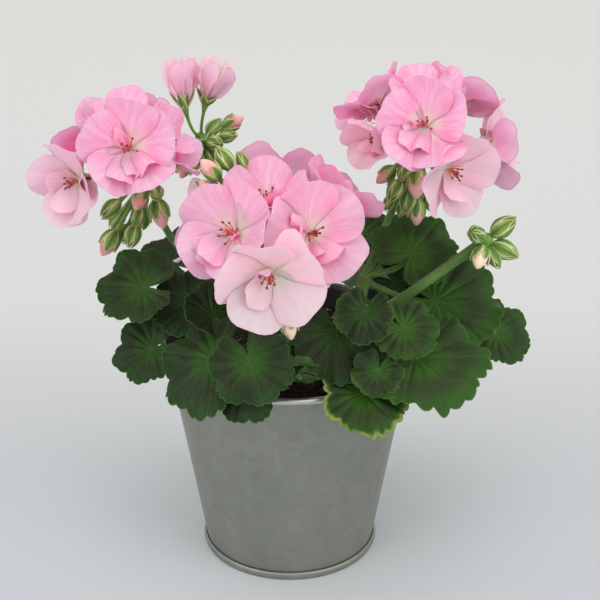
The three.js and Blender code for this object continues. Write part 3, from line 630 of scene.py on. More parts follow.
def leaf_stalk_line(shoot, share, base, reach, face, vein):
    x, y, z = blade_frame(face, vein)
    start = place_on(shoot, share)
    end = np.array(base) - z * (BLADE_HALF + BLADE_SEAT)
    near = end - STALK_UNDER * reach * z - STALK_BEHIND * reach * y
    near[2] = max(near[2], POT_HEIGHT + RIM_PASS)
    t = np.linspace(0, 1, 26)[:, None]
    middle = (start + near) / 2
    return (1 - t) ** 3 * start + 3 * (1 - t) ** 2 * t * middle + 3 * (1 - t) * t**2 * near + t**3 * end


def flower_stalk_line(name):
    shoot, share, passed, hub, _ = FLOWER_STALKS[name]
    return through([place_on(shoot, share), passed, hub])


def stems():
    heights, radii = zip(*CROWN_RINGS)
    crown = evened(np.array([(0, 0, CROWN_FOOT + up) for up in heights], float), CROWN_STEPS)
    radii = np.interp(np.linspace(0, heights[-1], CROWN_STEPS), heights, radii)
    parts = [tube(crown, radii, sides=16, age=(1, 1))]
    # Fallen leaves have left rings of scars along the shoots
    scars = []
    for s in np.linspace(0, 1, 60):
        on_scar = math.cos(2 * math.pi * SCARS * s) > SCAR_FROM
        scars.append(SHOOT_FOOT - SHOOT_TAPER * s + SCAR_PROUD * on_scar)
    for line in shoot_lines.values():
        parts.append(tube(line[::3], scars, sides=16, age=(1, 0.75, 0.35)))
    for leaf in LEAVES.values():
        parts.append(tube(leaf_stalk_line(*leaf[:6]), STALK_RADII, sides=10, age=(0.25, 0.05, 0)))
    for name, (*_, radius) in FLOWER_STALKS.items():
        line = flower_stalk_line(name)
        into_knob = line[-1] + unit(line[-1] - line[-2]) * (CLEARANCE + INTO_KNOB)
        radii = [radius + swell for swell in FLOWER_STALK_SWELL]
        parts.append(tube(np.vstack([line[::4], into_knob]), radii, sides=14, age=(0.2, 0.03, 0)))
    return joined(parts)


def carried(tree, name):
    """A value that the mesh carries as an attribute."""
    return put(tree, "ShaderNodeAttribute", {}, "Fac", attribute_name=name)


def stem_finish(tree):
    place = object_place(tree)
    broad, small = patches(place, 90, 4), patches(place, 800, 4, 0.3, 0.75)
    green = mixed(small * 0.2, mixed(broad, (60, 98, 27), (80, 120, 37)), (116, 150, 70))
    wood = mixed(small, (88, 72, 48), (124, 104, 72))
    tone = mixed(fade(carried(tree, "age") + broad * 0.2, 0.35, 0.95), green, wood)
    return surface(tone, small, 0.5, 0.7, (small, 0.4, 0.15))


def down_finish(tree):
    return {"Base Color": mixed(patches(object_place(tree), 50, 2), (196, 208, 172), (222, 226, 204))}


def upright(axis):
    return put(axis.tree, "FunctionNodeAlignRotationToVector", {"Vector": axis}, axis="Z")


def rotated(rotation, by):
    given = {"Rotation": rotation, "Rotate By": by}
    return put(rotation.tree, "FunctionNodeRotateRotation", given, rotation_space="LOCAL")


def whorl_tree():
    """Copies of a part set round an axis at each point, as sepals, stamens and bracts are. The points carry
    the axis and a size, and the part stands along its own Z."""
    inputs = {"Places": "Geometry", "Part": "Object", "Count": 5, "Tilt": 0.5, "Tilt Spread": 0.1}
    inputs |= {"Turn Spread": 0.1, "Out": 0.0, "Size Spread": 0.1, "Seed": 1, "Finish": "Material"}
    tree, given, result = new_group("whorl", "GeometryNodeTree", inputs, {"Made": "Geometry"})

    def carried_on(name, kind):
        return put(tree, "GeometryNodeInputNamedAttribute", {"Name": name}, data_type=kind)

    def spread(name, seed_step):
        return chance(0.0, given[name + " Spread"], given["Seed"] + seed_step)

    def about(axis, angle):
        return put(tree, "FunctionNodeAxisAngleToRotation", {"Axis": axis, "Angle": angle})

    points = put(tree, "GeometryNodeMeshToPoints", {"Mesh": given["Places"]})
    doubling = {"Geometry": points, "Amount": given["Count"]}
    doubled, order = put(tree, "GeometryNodeDuplicateElements", doubling, (0, 1), domain="POINT")
    turn = order / given["Count"] * (2 * math.pi) + spread("Turn", 1)
    tilt = given["Tilt"] + spread("Tilt", 2)
    size = carried_on("size", "FLOAT") * (spread("Size", 3) + 1.0)
    faced = rotated(upright(carried_on("axis", "FLOAT_VECTOR")), about((0.0, 0.0, 1.0), turn))
    leaned = rotated(faced, about((1.0, 0.0, 0.0), tilt))
    outward = put(tree, "ShaderNodeCombineXYZ", {1: given["Out"] * size})
    outward = put(tree, "FunctionNodeRotateVector", {"Vector": outward, "Rotation": faced})
    moved = put(tree, "GeometryNodeSetPosition", {"Geometry": doubled, "Offset": outward})
    return copies(tree, given, result, moved, leaned, size)


def downy_tree():
    """Fine hairs standing on a surface: thin closed cones, each leaning a little from the surface."""
    inputs = {"Skin": "Geometry", "Part": "Object", "Per Square Metre": 1e5, "Lean": 0.5, "Seed": 1}
    inputs["Finish"] = "Material"
    tree, given, result = new_group("down", "GeometryNodeTree", inputs, {"Made": "Geometry"})
    seed, most = given["Seed"], given["Lean"]
    density = {"Mesh": given["Skin"], "Density": given["Per Square Metre"], "Seed": seed}
    spots, normal = put(tree, "GeometryNodeDistributePointsOnFaces", density, ("Points", "Normal"))
    least = most * -1.0
    lean = chance(flat(least, least), flat(most, most), seed, vector=True)
    return copies(tree, given, result, spots, rotated(upright(normal), lean), chance(0.6, 1.1, seed))


def shell(grid, thickness, closed=False, **values):
    """A thin sheet with two faces and an edge. The grid has rows of points along the sheet, and thickness may
    be given for each point. With closed, the rows are rings and the first one is closed by a point."""
    rows, columns = grid.shape[:2]
    if closed:
        wrapped = np.concatenate([grid[:, -1:], grid, grid[:, :1]], 1)
        across = (wrapped[:, 2:] - wrapped[:, :-2]) / 2
    else:
        across = np.gradient(grid, axis=1)
    normal = np.cross(across, np.gradient(grid, axis=0))
    normal /= np.maximum(np.linalg.norm(normal, axis=2), 1e-9)[..., None]
    depth = np.broadcast_to(thickness, (rows, columns))[..., None]
    front, back = grid + normal * depth / 2, grid - normal * depth / 2
    size = rows * columns
    faces = []
    for i in range(rows - 1):
        for j in range(columns if closed else columns - 1):
            a, b = i * columns + j, i * columns + (j + 1) % columns
            c, d = b + columns, a + columns
            faces += [(a, b, c, d), (a + size, d + size, c + size, b + size)]
    last = (rows - 1) * columns
    for j in range(columns if closed else columns - 1):
        a, b = last + j, last + (j + 1) % columns
        faces.append((b, a, a + size, b + size))
    points = [front.reshape(-1, 3), back.reshape(-1, 3)]
    if closed:
        points += [front[0].mean(0)[None], back[0].mean(0)[None]]
        for j in range(columns):
            k = (j + 1) % columns
            faces += [(2 * size, k, j), (2 * size + 1, j + size, k + size)]
    else:
        for j in range(columns - 1):
            faces.append((j, j + 1, j + 1 + size, j + size))
        for i in range(rows - 1):
            a, d = i * columns, (i + 1) * columns
            faces.append((a, d, d + size, a + size))
            a, d = a + columns - 1, d + columns - 1
            faces.append((d, a, a + size, d + size))
    form = {"points": np.vstack(points), "faces": faces}
    for key, listed in values.items():
        once = listed.reshape(size, -1)
        doubled = [once, once] + ([once[:columns].mean(0)[None]] * 2 if closed else [])
        form[key] = np.vstack(doubled) if once.shape[1] > 1 else np.vstack(doubled)[:, 0]
    return form


def stipule():
    """A small pointed scale, standing along Z with its back to +Y."""
    across = np.array([-1, -0.5, 0, 0.5, 1])
    rows = [[(half * x, out - 0.35 * half * x * x, up) for x in across] for up, half, out in STIPULE_ROWS]
    return shell(np.array(rows), 0.25)


def hair(length, radius):
    turn = np.radians([0, 120, 240])
    foot = np.stack([radius * np.cos(turn), radius * np.sin(turn), 0 * turn], 1)
    faces = [(2, 1, 0), (0, 1, 3), (1, 2, 3), (2, 0, 3)]
    return {"points": np.vstack([foot, (0, 0, length)]), "faces": faces}


def whorls(name, places, part, **given):
    """A part set round each of the places, which have a point, an axis and a size."""
    points, axes, sizes = (np.array(listed, float) for listed in zip(*places))
    stood = mesh_of("places", {"points": points, "faces": [], "axis": axes, "size": sizes}, [])
    shape = mesh_of("part", part, [])
    made = grown(name, stood, whorl, part=shape, **given)
    put_away(stood, shape)
    return made


def downy(name, base, slot, dense, lean, seed):
    """A coat of down on a piece, before that piece is settled."""
    given = {"per_square_metre": dense, "lean": lean, "seed": seed}
    settle(grown(name, base, down, part=stem_hair, finish=down_skin, **given), slot)


fleshy = {"Sheen_Weight": 0.25, "Sheen_Roughness": 0.4, "Subsurface_Weight": 0.15}
stem_skin = new_material("stem_skin", stem_finish, Subsurface_Scale=0.0012, **fleshy)
down_skin = new_material("down_skin", down_finish, Roughness=0.6)
whorl, down = whorl_tree(), downy_tree()
stem_mass = mesh_of("stem_mass", stems(), [stem_skin])
stem_hair = mesh_of("stem_hair", hair(HAIR_LENGTH, HAIR_RADIUS), [])
downy("stem_down", stem_mass, "stem", dense=6e5, lean=0.7, seed=2)
feet = [leaf_stalk_line(*leaf[:6])[:3] for leaf in LEAVES.values()]
feet += [flower_stalk_line(name)[:12:5] for name in FLOWER_STALKS]
places = [(foot[1], unit(foot[2] - foot[0]), 1) for foot in feet]
given = {"count": 2, "tilt": -0.5, "tilt_spread": 0.3, "out": 0.3 * MM, "seed": 3, "finish": stem_skin}
settle(whorls("stipules", places, stipule(), **given), "stem")
settle(stem_mass, "stem", "stems")

# The leaf blades: round and cut nearly to the stalk on one side, with seven low lobes, a scalloped margin
# and veins that spread from the stalk. The upper face is dark green and velvety, with a brown horseshoe
# band and a thin pale margin, and the lower face is grey green with raised veins.
LOBES, LOBE_DEPTH = 7, 0.12
NOTCH, NOTCH_WIDTH = 0.86, 17
SCALLOPS, SCALLOP_DEPTH = 28, 0.055
LEAF_RINGS, LEAF_AROUND = 22, 252
LEAF_THICKNESS, LEAF_SEED = 0.5, 300
UV_SHARE = 0.42  # of the uv square, for one reach of the blade
GILDING = {"right_gilded": 0.8, "right_pale": 0.1, "right_crinkled": 0.12}  # how yellow the margin is
# Painted light: leaves that the light falls on are painted a lighter green, by how much
LIT_LEAVES = {"left_upper": 0.15, "right_large": 0.45, "right_front": 0.5, "right_far": 0.4, "right_gilded": 0.5}
LIT_LEAVES |= {"right_top": 0.7, "right_inner": 0.5, "middle_top": 0.6}  # a paler green than the rest
# Painted shade: leaves deep in the foliage are painted a darker green, by how much
SHADED_LEAVES = {"left_folded": 0.35, "left_inner": 0.3, "left_behind": 0.25, "left_edgeways": 0.2}
SHADED_LEAVES |= {"middle_low": 0.3, "middle_inner": 0.35, "middle_right": 0.15}  # a darker one


def leaf_blade(name, order):
    """A blade worked out in its own plane, in shares of its reach: across, along and up from that plane."""
    _, _, base, reach, face, vein, (cup, fold, curl, wave, phase) = LEAVES[name]
    x, y, z = blade_frame(face, vein)
    draw = np.random.default_rng(LEAF_SEED + order)

    def start():
        return draw.uniform(0, 6)

    angle = np.linspace(-np.pi, np.pi, LEAF_AROUND, endpoint=False) + np.pi / LEAF_AROUND
    from_notch = (180 - np.abs(np.degrees(angle))) / NOTCH_WIDTH
    margin = 1 - 0.12 * (1 - np.cos(angle)) + LOBE_DEPTH * (np.abs(np.cos(LOBES * angle / 2)) ** 0.7 - 0.68)
    margin += 0.02 * np.sin(3 * angle + start()) + 0.016 * np.sin(5 * angle + start())
    shifted = angle + 0.035 * np.sin(4 * angle + start()) + 0.03 * np.sin(9 * angle + start())
    scallop = np.abs(np.sin(SCALLOPS * shifted / 2)) ** 0.6
    uneven = 1 + 0.35 * np.sin(6 * angle + start())
    margin = (margin - SCALLOP_DEPTH * uneven * (1 - scallop)) * (1 - NOTCH * np.exp(-(from_notch**2)))
    to_edge = np.linspace(0, 1, LEAF_RINGS + 1)[1:] ** 0.85
    s = to_edge[:, None] * margin[None, :]
    a = np.broadcast_to(angle, s.shape)
    across, along = s * np.sin(a), s * np.cos(a)
    height = cup * s**2 + fold * across**2 + curl * along * np.abs(along)
    height += wave * s**3 * np.cos(5 * a + phase)
    # Between the veins the blade swells, along them it is creased, and towards its margin it waves
    in_lobe = np.abs(np.mod(a * LOBES / (2 * np.pi) + 0.5, 1) - 0.5) * 2
    off_stalk = np.clip(s * 3, 0, 1)
    height += 0.05 * np.sin(np.pi * np.clip(in_lobe * 1.1, 0, 1)) * s * np.clip(1.1 - s, 0, 1) * off_stalk
    height -= 0.012 * np.exp(-((in_lobe * s / 0.09) ** 2)) * np.clip(1 - s, 0, 1) * off_stalk
    height += (0.04 + 0.35 * wave) * s**4 * np.cos(LOBES * a + draw.uniform(-0.6, 0.6))
    height += 0.028 * s**5 * np.cos(11 * a + 2 * phase + start())
    height += 0.018 * s**6 * np.cos(SCALLOPS * shifted) + 0.018 * s**4 * np.cos(17 * a + start())
    height += 0.03 * s**2 * np.cos(2 * a + start()) + 0.012 * s * np.sin(8 * s + start())
    grid = np.array(base) + reach * (across[..., None] * x + along[..., None] * y + height[..., None] * z)
    thickness = LEAF_THICKNESS * (1 - 0.45 * to_edge**3)[:, None]
    uv = np.stack([0.5 + UV_SHARE * across, 0.5 + UV_SHARE * along], -1)
    return shell(grid, thickness, closed=True, uv=uv, to_edge=np.broadcast_to(to_edge[:, None], s.shape))


# The veins of a blade, worked out from its own plane: seven main veins fold onto one, which forks on both
# sides, and a fine net lies between the forks.
inputs = {"Leaf Plane": "Vector", "Main Width": 0.03, "Fork Width": 0.02, "Fork Step": 0.17}
inputs |= {"Fork Angle": 0.62, "Meshes": 15.0}
outputs = ("Main", "Forks", "Net", "Reach", "Lobe")
veins, given, result = new_group("leaf veins", "ShaderNodeTree", inputs, dict.fromkeys(outputs, "Float"))
wander = {"Vector": given["Leaf Plane"], "Scale": 9.0, "Detail": 2.0}
bent = vectors("SUBTRACT", put(veins, "ShaderNodeTexNoise", wander, "Color"), {1: (0.5, 0.5, 0.5)})
plane = vectors("ADD", given["Leaf Plane"], {1: vectors("SCALE", bent, {"Scale": 0.035})})
plane = vectors("SCALE", vectors("SUBTRACT", plane, {1: (0.5, 0.5, 0.0)}), {"Scale": 1 / UV_SHARE})
aside, ahead, _ = split(plane)
from_stalk = flat(aside, ahead)
reached = vectors("LENGTH", from_stalk, {}, "Value")
lobe_turn = calc("ARCTAN2", aside, ahead) * (LOBES / (2 * math.pi))
in_lobe = lobe_turn - calc("ROUND", lobe_turn)
lobe_angle = in_lobe * (2 * math.pi / LOBES)
ahead = reached * calc("COSINE", lobe_angle)
aside = reached * calc("ABSOLUTE", calc("SINE", lobe_angle))
taper = 1.2 - reached
main = fade(aside, 0, given["Main Width"] * taper, 1, 0)
climbed = ahead - aside / calc("TANGENT", given["Fork Angle"])
off_fork = calc("ABSOLUTE", calc("FRACT", climbed / given["Fork Step"]) - 0.5)
off_fork = off_fork * (given["Fork Step"] * calc("SINE", given["Fork Angle"]))
forks = fade(off_fork, 0, given["Fork Width"] * taper, 1, 0) * fade(climbed, 0.16, 0.24)
meshes = {"Vector": from_stalk, "Scale": given["Meshes"]}
net = fade(put(veins, "ShaderNodeTexVoronoi", meshes, feature="DISTANCE_TO_EDGE"), 0, 0.09, 1, 0)
for name, value in zip(outputs, (main, forks, net, reached, calc("ABSOLUTE", in_lobe))):
    veins.links.new(value.socket, result[name])


def piece_uv(tree):
    return put(tree, "ShaderNodeUVMap", {}, uv_map="uv")


def blade_marks(tree, main_width):
    """A blade's veins, how far each point is from the stalk and from its lobe's middle, and patches."""
    place, given = object_place(tree), {"Leaf Plane": piece_uv(tree), "Main Width": main_width}
    drawn = put(tree, "ShaderNodeGroup", given, outputs, node_tree=veins)
    return *drawn, patches(place, 55, 3), patches(place, 500, 5, 0.3, 0.7)


def strongest(*values):
    return calc("MAXIMUM", calc("MAXIMUM", values[0], values[1]), values[2])


def blade_upper_finish(tree):
    main, forks, net, reach, lobe, broad, small = blade_marks(tree, 0.03)
    to_edge, gilt, tint = (carried(tree, name) for name in ("to_edge", "gilt", "tint"))
    in_band = reach + lobe * 0.16 + broad * 0.07
    middle = mixed(broad, (36, 70, 18), (46, 82, 22))
    outer = mixed(broad, (25, 54, 15), (35, 68, 20))
    tone = layered(
        mixed(fade(reach, 0.3, 0.62), middle, outer),
        # painted light and shade: each leaf's value paints it a lighter or a darker green
        (tint * 0.8, (60, 106, 22)),
        (tint * -1.2, (16, 30, 11)),
        (fade(in_band, 0.38, 0.62) * fade(in_band, 0.7, 0.98, 1, 0) * 0.6, (40, 39, 24)),
        (small * 0.2, (16, 32, 10)),
        (net * 0.06, (70, 104, 40)),
        (forks * 0.12, (72, 106, 42)),
        (main * 0.24, (86, 120, 52)),
        (gilt * fade(to_edge + broad * 0.12, 0.92, 1.1), (158, 176, 84)),
        (fade(to_edge, 0.97, 1.0) * 0.5, (84, 120, 50)),
    )
    pleat = calc("SINE", lobe * (2 * math.pi)) * fade(reach, 0.05, 0.6)
    height = calc("MULTIPLY_ADD", pleat, 7, small * 0.15 - strongest(main, forks * 0.65, net * 0.35))
    return surface(tone, small, 0.5, 0.64, (height, 0.35, 0.32))


def blade_lower_finish(tree):
    main, forks, net, _, _, broad, small = blade_marks(tree, 0.05)
    raised = strongest(main, forks * 0.7, net * 0.4)
    green = mixed(broad, (68, 98, 44), (86, 116, 58))
    tone = layered(green, (small * 0.25, (58, 84, 46)), (raised * 0.45, (118, 144, 90)))
    return surface(tone, small, 0.6, 0.75, (small * 0.2 + raised, 0.6, 0.5))


velvet = {"Sheen_Weight": 0.02, "Sheen_Roughness": 0.5, "Specular_IOR_Level": 0.22}
velvet |= {"Subsurface_Weight": 0.1, "Subsurface_Scale": 0.0008}
blade_upper = new_material("blade_upper", blade_upper_finish, **velvet)
blade_lower = new_material("blade_lower", blade_lower_finish, **velvet)
for order, name in enumerate(LEAVES):
    blade = leaf_blade(name, order)
    count = len(blade["points"])
    blade["gilt"] = np.full(count, GILDING.get(name, 0.0))
    # painted light on the lit leaves and painted shade on the shaded ones
    blade["tint"] = np.full(count, LIT_LEAVES.get(name, 0.0) - SHADED_LEAVES.get(name, 0.0))
    # The upper face's points come first, then the lower face's, then the points in the middle of each
    side = LEAF_RINGS * LEAF_AROUND
    under = [max(corners) >= side and 2 * side not in corners for corners in blade["faces"]]
    made = mesh_of("blade_" + name, blade, [blade_upper, blade_lower], np.array(under, np.int32))
    settle(made, "blade", "leaf_" + name)

# The green of each flower head: the knob that ends the flower stalk, ringed with small bracts, the florets'
# thin stalks with a calyx of five sepals at the end of each, and the buds, each closed in five ribbed
# sepals with pale edges. The older buds show salmon petals at the tip.
OPEN_FROM = 40  # a floret opened further than this lays its calyx back and shows its stamens
DRAWN_REACH = 24  # the reach of the floret that the calyx and the stamens are drawn for
# Each floret: its middle, the way it faces, its reach, degrees that its petals open from its axis, its turn,
# its inner petals, and how pale it is
FLORETS = {
    "left": [
        ((-74, -30, 232), (-92, 27), 27, 66, 90, 4, -0.05),
        ((-99, -20, 212), (-128, 3), 25, 62, 40, 2, 0.7),
        ((-94, 6, 218), (150, 28), 24, 66, 20, 3, -0.05),
        ((-62, -2, 220), (-5, 34), 23, 64, 100, 2, -0.45),
        ((-80, -3, 231), (-100, 84), 23, 66, 10, 2, -0.55),
        ((-78, 24, 215), (100, 36), 26, 66, 30, 2, 0.15),
    ],
    "back": [
        ((-53, 57, 219), (130, 78), 24, 26, -15, 0, 0.9),
        ((-42, 61, 219), (-10, 74), 24, 26, 35, 0, 1.7),
    ],
    "middle": [
        ((-24, -67, 206), (-118, 28), 28, 66, 80, 2, 0.15),
        ((9, -68, 206), (-66, 28), 29, 66, 95, 3, 0.15),
        ((-8, -89, 198), (-92, -5), 29, 66, 105, 1, 1.0),
        ((-10, -47, 210), (-90, 72), 25, 62, 20, 2, -0.75),
        ((21, -36, 206), (24, 50), 25, 64, 50, 2, -0.25),
        ((-37, -38, 196), (174, 10), 24, 64, 15, 2, 0.9),
        ((-8, -10, 202), (90, 34), 26, 66, 75, 2, 0.15),
    ],
    "right": [
        ((64, -27, 242), (-104, 32), 26, 64, 90, 2, -0.2),
        ((74, -29, 222), (-56, -3), 25, 66, 75, 1, 0.75),
        ((45, -11, 231), (-142, -4), 21, 46, 30, 2, 0.7),
        ((44, 14, 234), (150, 44), 24, 66, 60, 3, 0.05),
        ((80, 18, 234), (50, 46), 24, 66, 10, 2, 0.3),
        ((94, 3, 219), (4, 8), 25, 64, 80, 2, 0.7),
        ((66, 0, 243), (-80, 82), 22, 64, 40, 3, -0.45),
        ((64, 40, 217), (95, 22), 26, 66, 25, 2, 0.4),
    ],
    "bud": [],
}
# Each bud: azimuth and elevation of the way it grows from its head's hub, how far off its foot is, its size,
# and its kind: 0 shut, 1 with salmon petals showing, and 2 with cream ones
BUDS = {
    "left": [
        (-62, -63, 13.5, 1.2, 1), (-106, -24, 12.5, 1, 1), (-147, -32, 21, 0.95, 0), (-78, -9, 14, 0.8, 0),
        (-123, -58, 18, 0.8, 0), (-163, -58, 34, 1.2, 1), (-138, -68, 27, 0.95, 0),
        (-179, -68, 30.5, 0.85, 0), (174, -56, 26.5, 0.85, 0), (140, -78, 24, 0.8, 0),
        (126, -63, 21.5, 0.9, 0),
    ],
    "back": [
        (-7, 32, 13.5, 0.95, 1), (-23, 16, 10.5, 0.8, 0), (39, 31, 4, 0.85, 0), (179, -7, 5, 0.85, 0),
        (-110, 0, 5, 0.9, 0), (-53, 10, 7.5, 0.85, 0), (-107, -44, 6.5, 0.85, 0), (-170, -51, 11.5, 0.9, 1),
        (-144, -53, 11.5, 0.9, 1), (-28, -63, 5, 0.8, 0),
    ],
    "middle": [
        (179, 60, 40, 1, 0), (-169, 51, 41, 1.05, 1), (-173, 41, 34.5, 0.95, 1), (173, 34, 40, 0.6, 0),
        (157, 66, 35.5, 0.7, 0), (-78, -42, 40, 1, 2),
    ],
    "right": [
        (-96, -41, 13, 1.25, 1), (-150, -31, 16.5, 0.95, 1), (-125, -37, 21, 0.95, 0),
        (-153, -59, 27.5, 0.7, 0), (-114, -58, 22.5, 0.95, 0), (-146, -73, 28.5, 0.7, 0),
        (-95, -69, 26, 1.05, 1), (-34, -77, 24, 0.8, 0), (-120, -27, 12.5, 0.85, 0),
        (71, -72, 30.5, 0.9, 0),
    ],
    "bud": [
        (-120, 35, 7.5, 0.95, 0), (-109, -30, 4, 1.05, 2), (5, 37, 4, 1.1, 0), (-10, -26, 4, 1.1, 0),
        (-39, -55, 4.5, 0.85, 0), (69, -46, 8.5, 0.8, 0),
    ],
}
KNOB_LENGTH, KNOB_INSIDE, KNOB_RADII = 7.5, 2, (2.3, 3.5, 3.6, 3.5, 3.2, 2.7, 1.4)
CALYX_GAP, CALYX_BEND, CALYX_SEPAL = 2, 14, (9.5, 2.6)  # a sepal's length and width
LAID_BACK, HELD_CLOSE = 1.42, -0.55  # how a wide and a narrow floret's calyx tilts, in radians
BRACT, BRACTS_BELOW, BRACTS_OUT = (5.5, 2.2), 2.2, 1.4
PEDICEL_STEPS, PEDICEL_RADII = 22, (1.15, 0.9, 0.8, 0.8, 0.8, 0.8, 0.85, 1.0, 1.5, 2.1)
BUD_STALK_RADII = (1.2, 0.95, 0.95, 1.05, 1.4)
BUD_LENGTH, BUD_RADIUS, BUD_CORE, BUD_SEAT = 12, 3.95, 0.95, 0.6
SEPAL_GAP, SEPAL_HALF_TURN = 0.12, 40  # off the bud, and in degrees round it
BUD_SHAPE = (0.34, 0.72, 0.92, 1.0, 0.98, 0.9, 0.75, 0.52, 0.18)  # share of the radius, from foot to tip
# For each kind of bud, the colour that its core carries from foot to tip, and how far the core reaches
BUD_KINDS = (((0, 0.2, 0.3), 0.95), ((0, 0.75, 1.05), 1.02), ((0, 1.5, 2.0), 1.02))


def head_hub(name):
    """The middle of a head's knob, and the way its stalk rises into it."""
    line = flower_stalk_line(name)
    rise = unit(line[-1] - line[-2])
    return line[-1] + rise * (CLEARANCE + KNOB_LENGTH / 2), rise


def head_buds(name):
    """Each bud of a head: the way it grows from the hub, how far off its foot is, its size and its kind."""
    return [(polar(azimuth, elevation), *rest) for azimuth, elevation, *rest in BUDS[name]]


def head_green(name):
    hub, rise = head_hub(name)
    knob = hub + rise * np.linspace(-KNOB_LENGTH / 2, KNOB_LENGTH / 2, 13)[:, None]
    parts = [tube(knob, KNOB_RADII, 18, colour=(0, 0))]
    for middle, face, *_ in FLORETS[name]:
        axis = polar(*face)
        end = np.array(middle) - CALYX_GAP * axis
        start = hub + KNOB_INSIDE * unit(end - hub)
        bend = (end - CALYX_BEND * axis) * 0.8 + hub * 0.2
        t = np.linspace(0, 1, PEDICEL_STEPS)[:, None]
        line = (1 - t) ** 2 * start + 2 * (1 - t) * t * bend + t**2 * end
        parts.append(tube(evened(line, PEDICEL_STEPS), PEDICEL_RADII, 9, colour=(0, 0.1, 0.2)))
    for way, foot, size, kind in head_buds(name):
        colour, length = BUD_KINDS[kind]
        stalk = hub + way * np.linspace(KNOB_INSIDE, foot + BUD_SEAT, 8)[:, None]
        parts.append(tube(stalk, BUD_STALK_RADII, 8, colour=(0, 0)))
        body = hub + way * np.linspace(foot, foot + BUD_LENGTH * size * length, 18)[:, None]
        parts.append(tube(body, [BUD_RADIUS * size * s * BUD_CORE for s in BUD_SHAPE], 18, colour=colour))
    return joined(parts)


def sepal(rows, columns, thickness, outline):
    """A sepal standing along Z with its back to +Y. outline gives, for a share of its length and the places
    across it from -1 to 1, how far over, out and up its points are."""
    shares, across = np.linspace(0, 1, rows), np.linspace(-1, 1, columns)
    grid = [np.stack(np.broadcast_arrays(*outline(v, across)), 1) for v in shares]
    uv = np.stack(np.meshgrid(np.linspace(0, 1, columns), shares), -1)
    return shell(np.array(grid), thickness, uv=uv)


def bud_sepal(length, gape):
    """One sepal that wraps a fifth of a bud."""

    def outline(v, across):
        share = np.interp(v * length, np.linspace(0, 1, len(BUD_SHAPE)), BUD_SHAPE)
        radius = BUD_RADIUS * share + SEPAL_GAP + gape * v**4
        half = math.radians(SEPAL_HALF_TURN) * (1 - 0.9 * max(0, (v - 0.35) / 0.65) ** 1.7)
        keel = radius * (1 + 0.1 * (1 - np.abs(across)) ** 1.5)
        return keel * np.sin(half * across), keel * np.cos(half * across), BUD_LENGTH * v * length

    return sepal(10, 7, 0.28, outline)


def floret_sepal(length, width):
    """A pointed sepal, hollowed a little."""

    def outline(v, across):
        half = width * (0.55 + 1.6 * v * (1 - v)) * (1 - v**3) + 0.05
        back = 1.3 + 0.9 * math.sin(v * 2.4) - 0.5 * half * across**2
        return half * across, back, length * v

    return sepal(9, 5, 0.3, outline)


def floret_places(off, wide):
    """A place off the middle of each wide or narrow floret, along its axis, with the axis and a size."""
    for at, face, reach, opening, *_ in sum(FLORETS.values(), []):
        if (opening > OPEN_FROM) == wide:
            yield np.array(at) + off * polar(*face), polar(*face), reach / DRAWN_REACH


def green_finish(tree):
    place, colour = object_place(tree), carried(tree, "colour")
    broad, small = patches(place, 120, 3), patches(place, 900, 4, 0.3, 0.7)
    tone = layered(
        mixed(broad, (96, 138, 46), (132, 168, 68)),
        (fade(colour, 0.45, 0.8), mixed(broad, (228, 150, 142), (242, 194, 186))),
        (fade(colour, 0.9, 1.8), mixed(broad, (240, 214, 176), (246, 226, 204))),
    )
    return surface(tone, small, 0.48, 0.62, (small, 0.3, 0.12))


def off_middle(across):
    """How far a point is from the middle line of a sepal or petal, 0 to 1."""
    return calc("ABSOLUTE", across - 0.5) * 2


def sepal_finish(tree):
    across, up, _ = split(piece_uv(tree))
    place, aside = object_place(tree), off_middle(across)
    broad, small = patches(place, 150, 3), patches(place, 900, 4, 0.3, 0.7)
    tone = layered(
        mixed(fade(aside, 0.1, 0.34, 1, 0), mixed(broad, (94, 134, 42), (140, 172, 70)), (82, 120, 38)),
        (fade(aside, 0.5, 0.95) * 0.85, (224, 224, 168)),
        (fade(up, 0.9, 1.0), (196, 168, 118)),
    )
    ribs = calc("COSINE", aside * 9) * 0.5
    return surface(tone, small, 0.48, 0.62, (ribs + small * 0.4, 0.4, 0.25))


tender = {"Sheen_Weight": 0.2, "Sheen_Roughness": 0.4, "Subsurface_Weight": 0.2, "Subsurface_Scale": 0.001}
green_skin = new_material("green_skin", green_finish, **tender)
sepal_skin = new_material("sepal_skin", sepal_finish, **tender)
shut, showing = [], []
for name in BUDS:
    green = mesh_of(f"head_{name}", head_green(name), [green_skin])
    downy(f"head_{name}_down", green, "bud", dense=4e5, lean=0.7, seed=5)
    settle(green, "bud", f"head_{name}_green")
    hub, _ = head_hub(name)
    for way, foot, size, kind in head_buds(name):
        (showing if kind else shut).append((hub + way * foot, way, size))
given = {"count": 5, "tilt": 0.0, "tilt_spread": 0.05, "turn_spread": 0.15, "seed": 6}
for label, places, length, gape in (("shut_bud", shut, 1.0, 0.1), ("open_bud", showing, 0.66, 0.5)):
    sepals = whorls(label + "_sepals", places, bud_sepal(length, gape), finish=sepal_skin, **given)
    downy(label + "_down", sepals, "bud", dense=5e5, lean=0.6, seed=8)
    settle(sepals, "bud")
given = {"count": 5, "tilt_spread": 0.3, "turn_spread": 0.3, "size_spread": 0.15, "seed": 11}
for label, wide, tilt in (("wide_calyxes", True, LAID_BACK), ("narrow_calyxes", False, HELD_CLOSE)):
    places, part = floret_places(-CALYX_GAP, wide), floret_sepal(*CALYX_SEPAL)
    settle(whorls(label, places, part, tilt=tilt, finish=sepal_skin, **given), "bud")
given = {"count": 7, "tilt": -1.25, "tilt_spread": 0.6, "turn_spread": 0.5, "size_spread": 0.2, "seed": 12}
places = [(hub - rise * BRACTS_BELOW, rise, 1) for hub, rise in map(head_hub, BUDS)]
settle(whorls("bracts", places, floret_sepal(*BRACT), out=BRACTS_OUT * MM, finish=sepal_skin, **given), "bud")

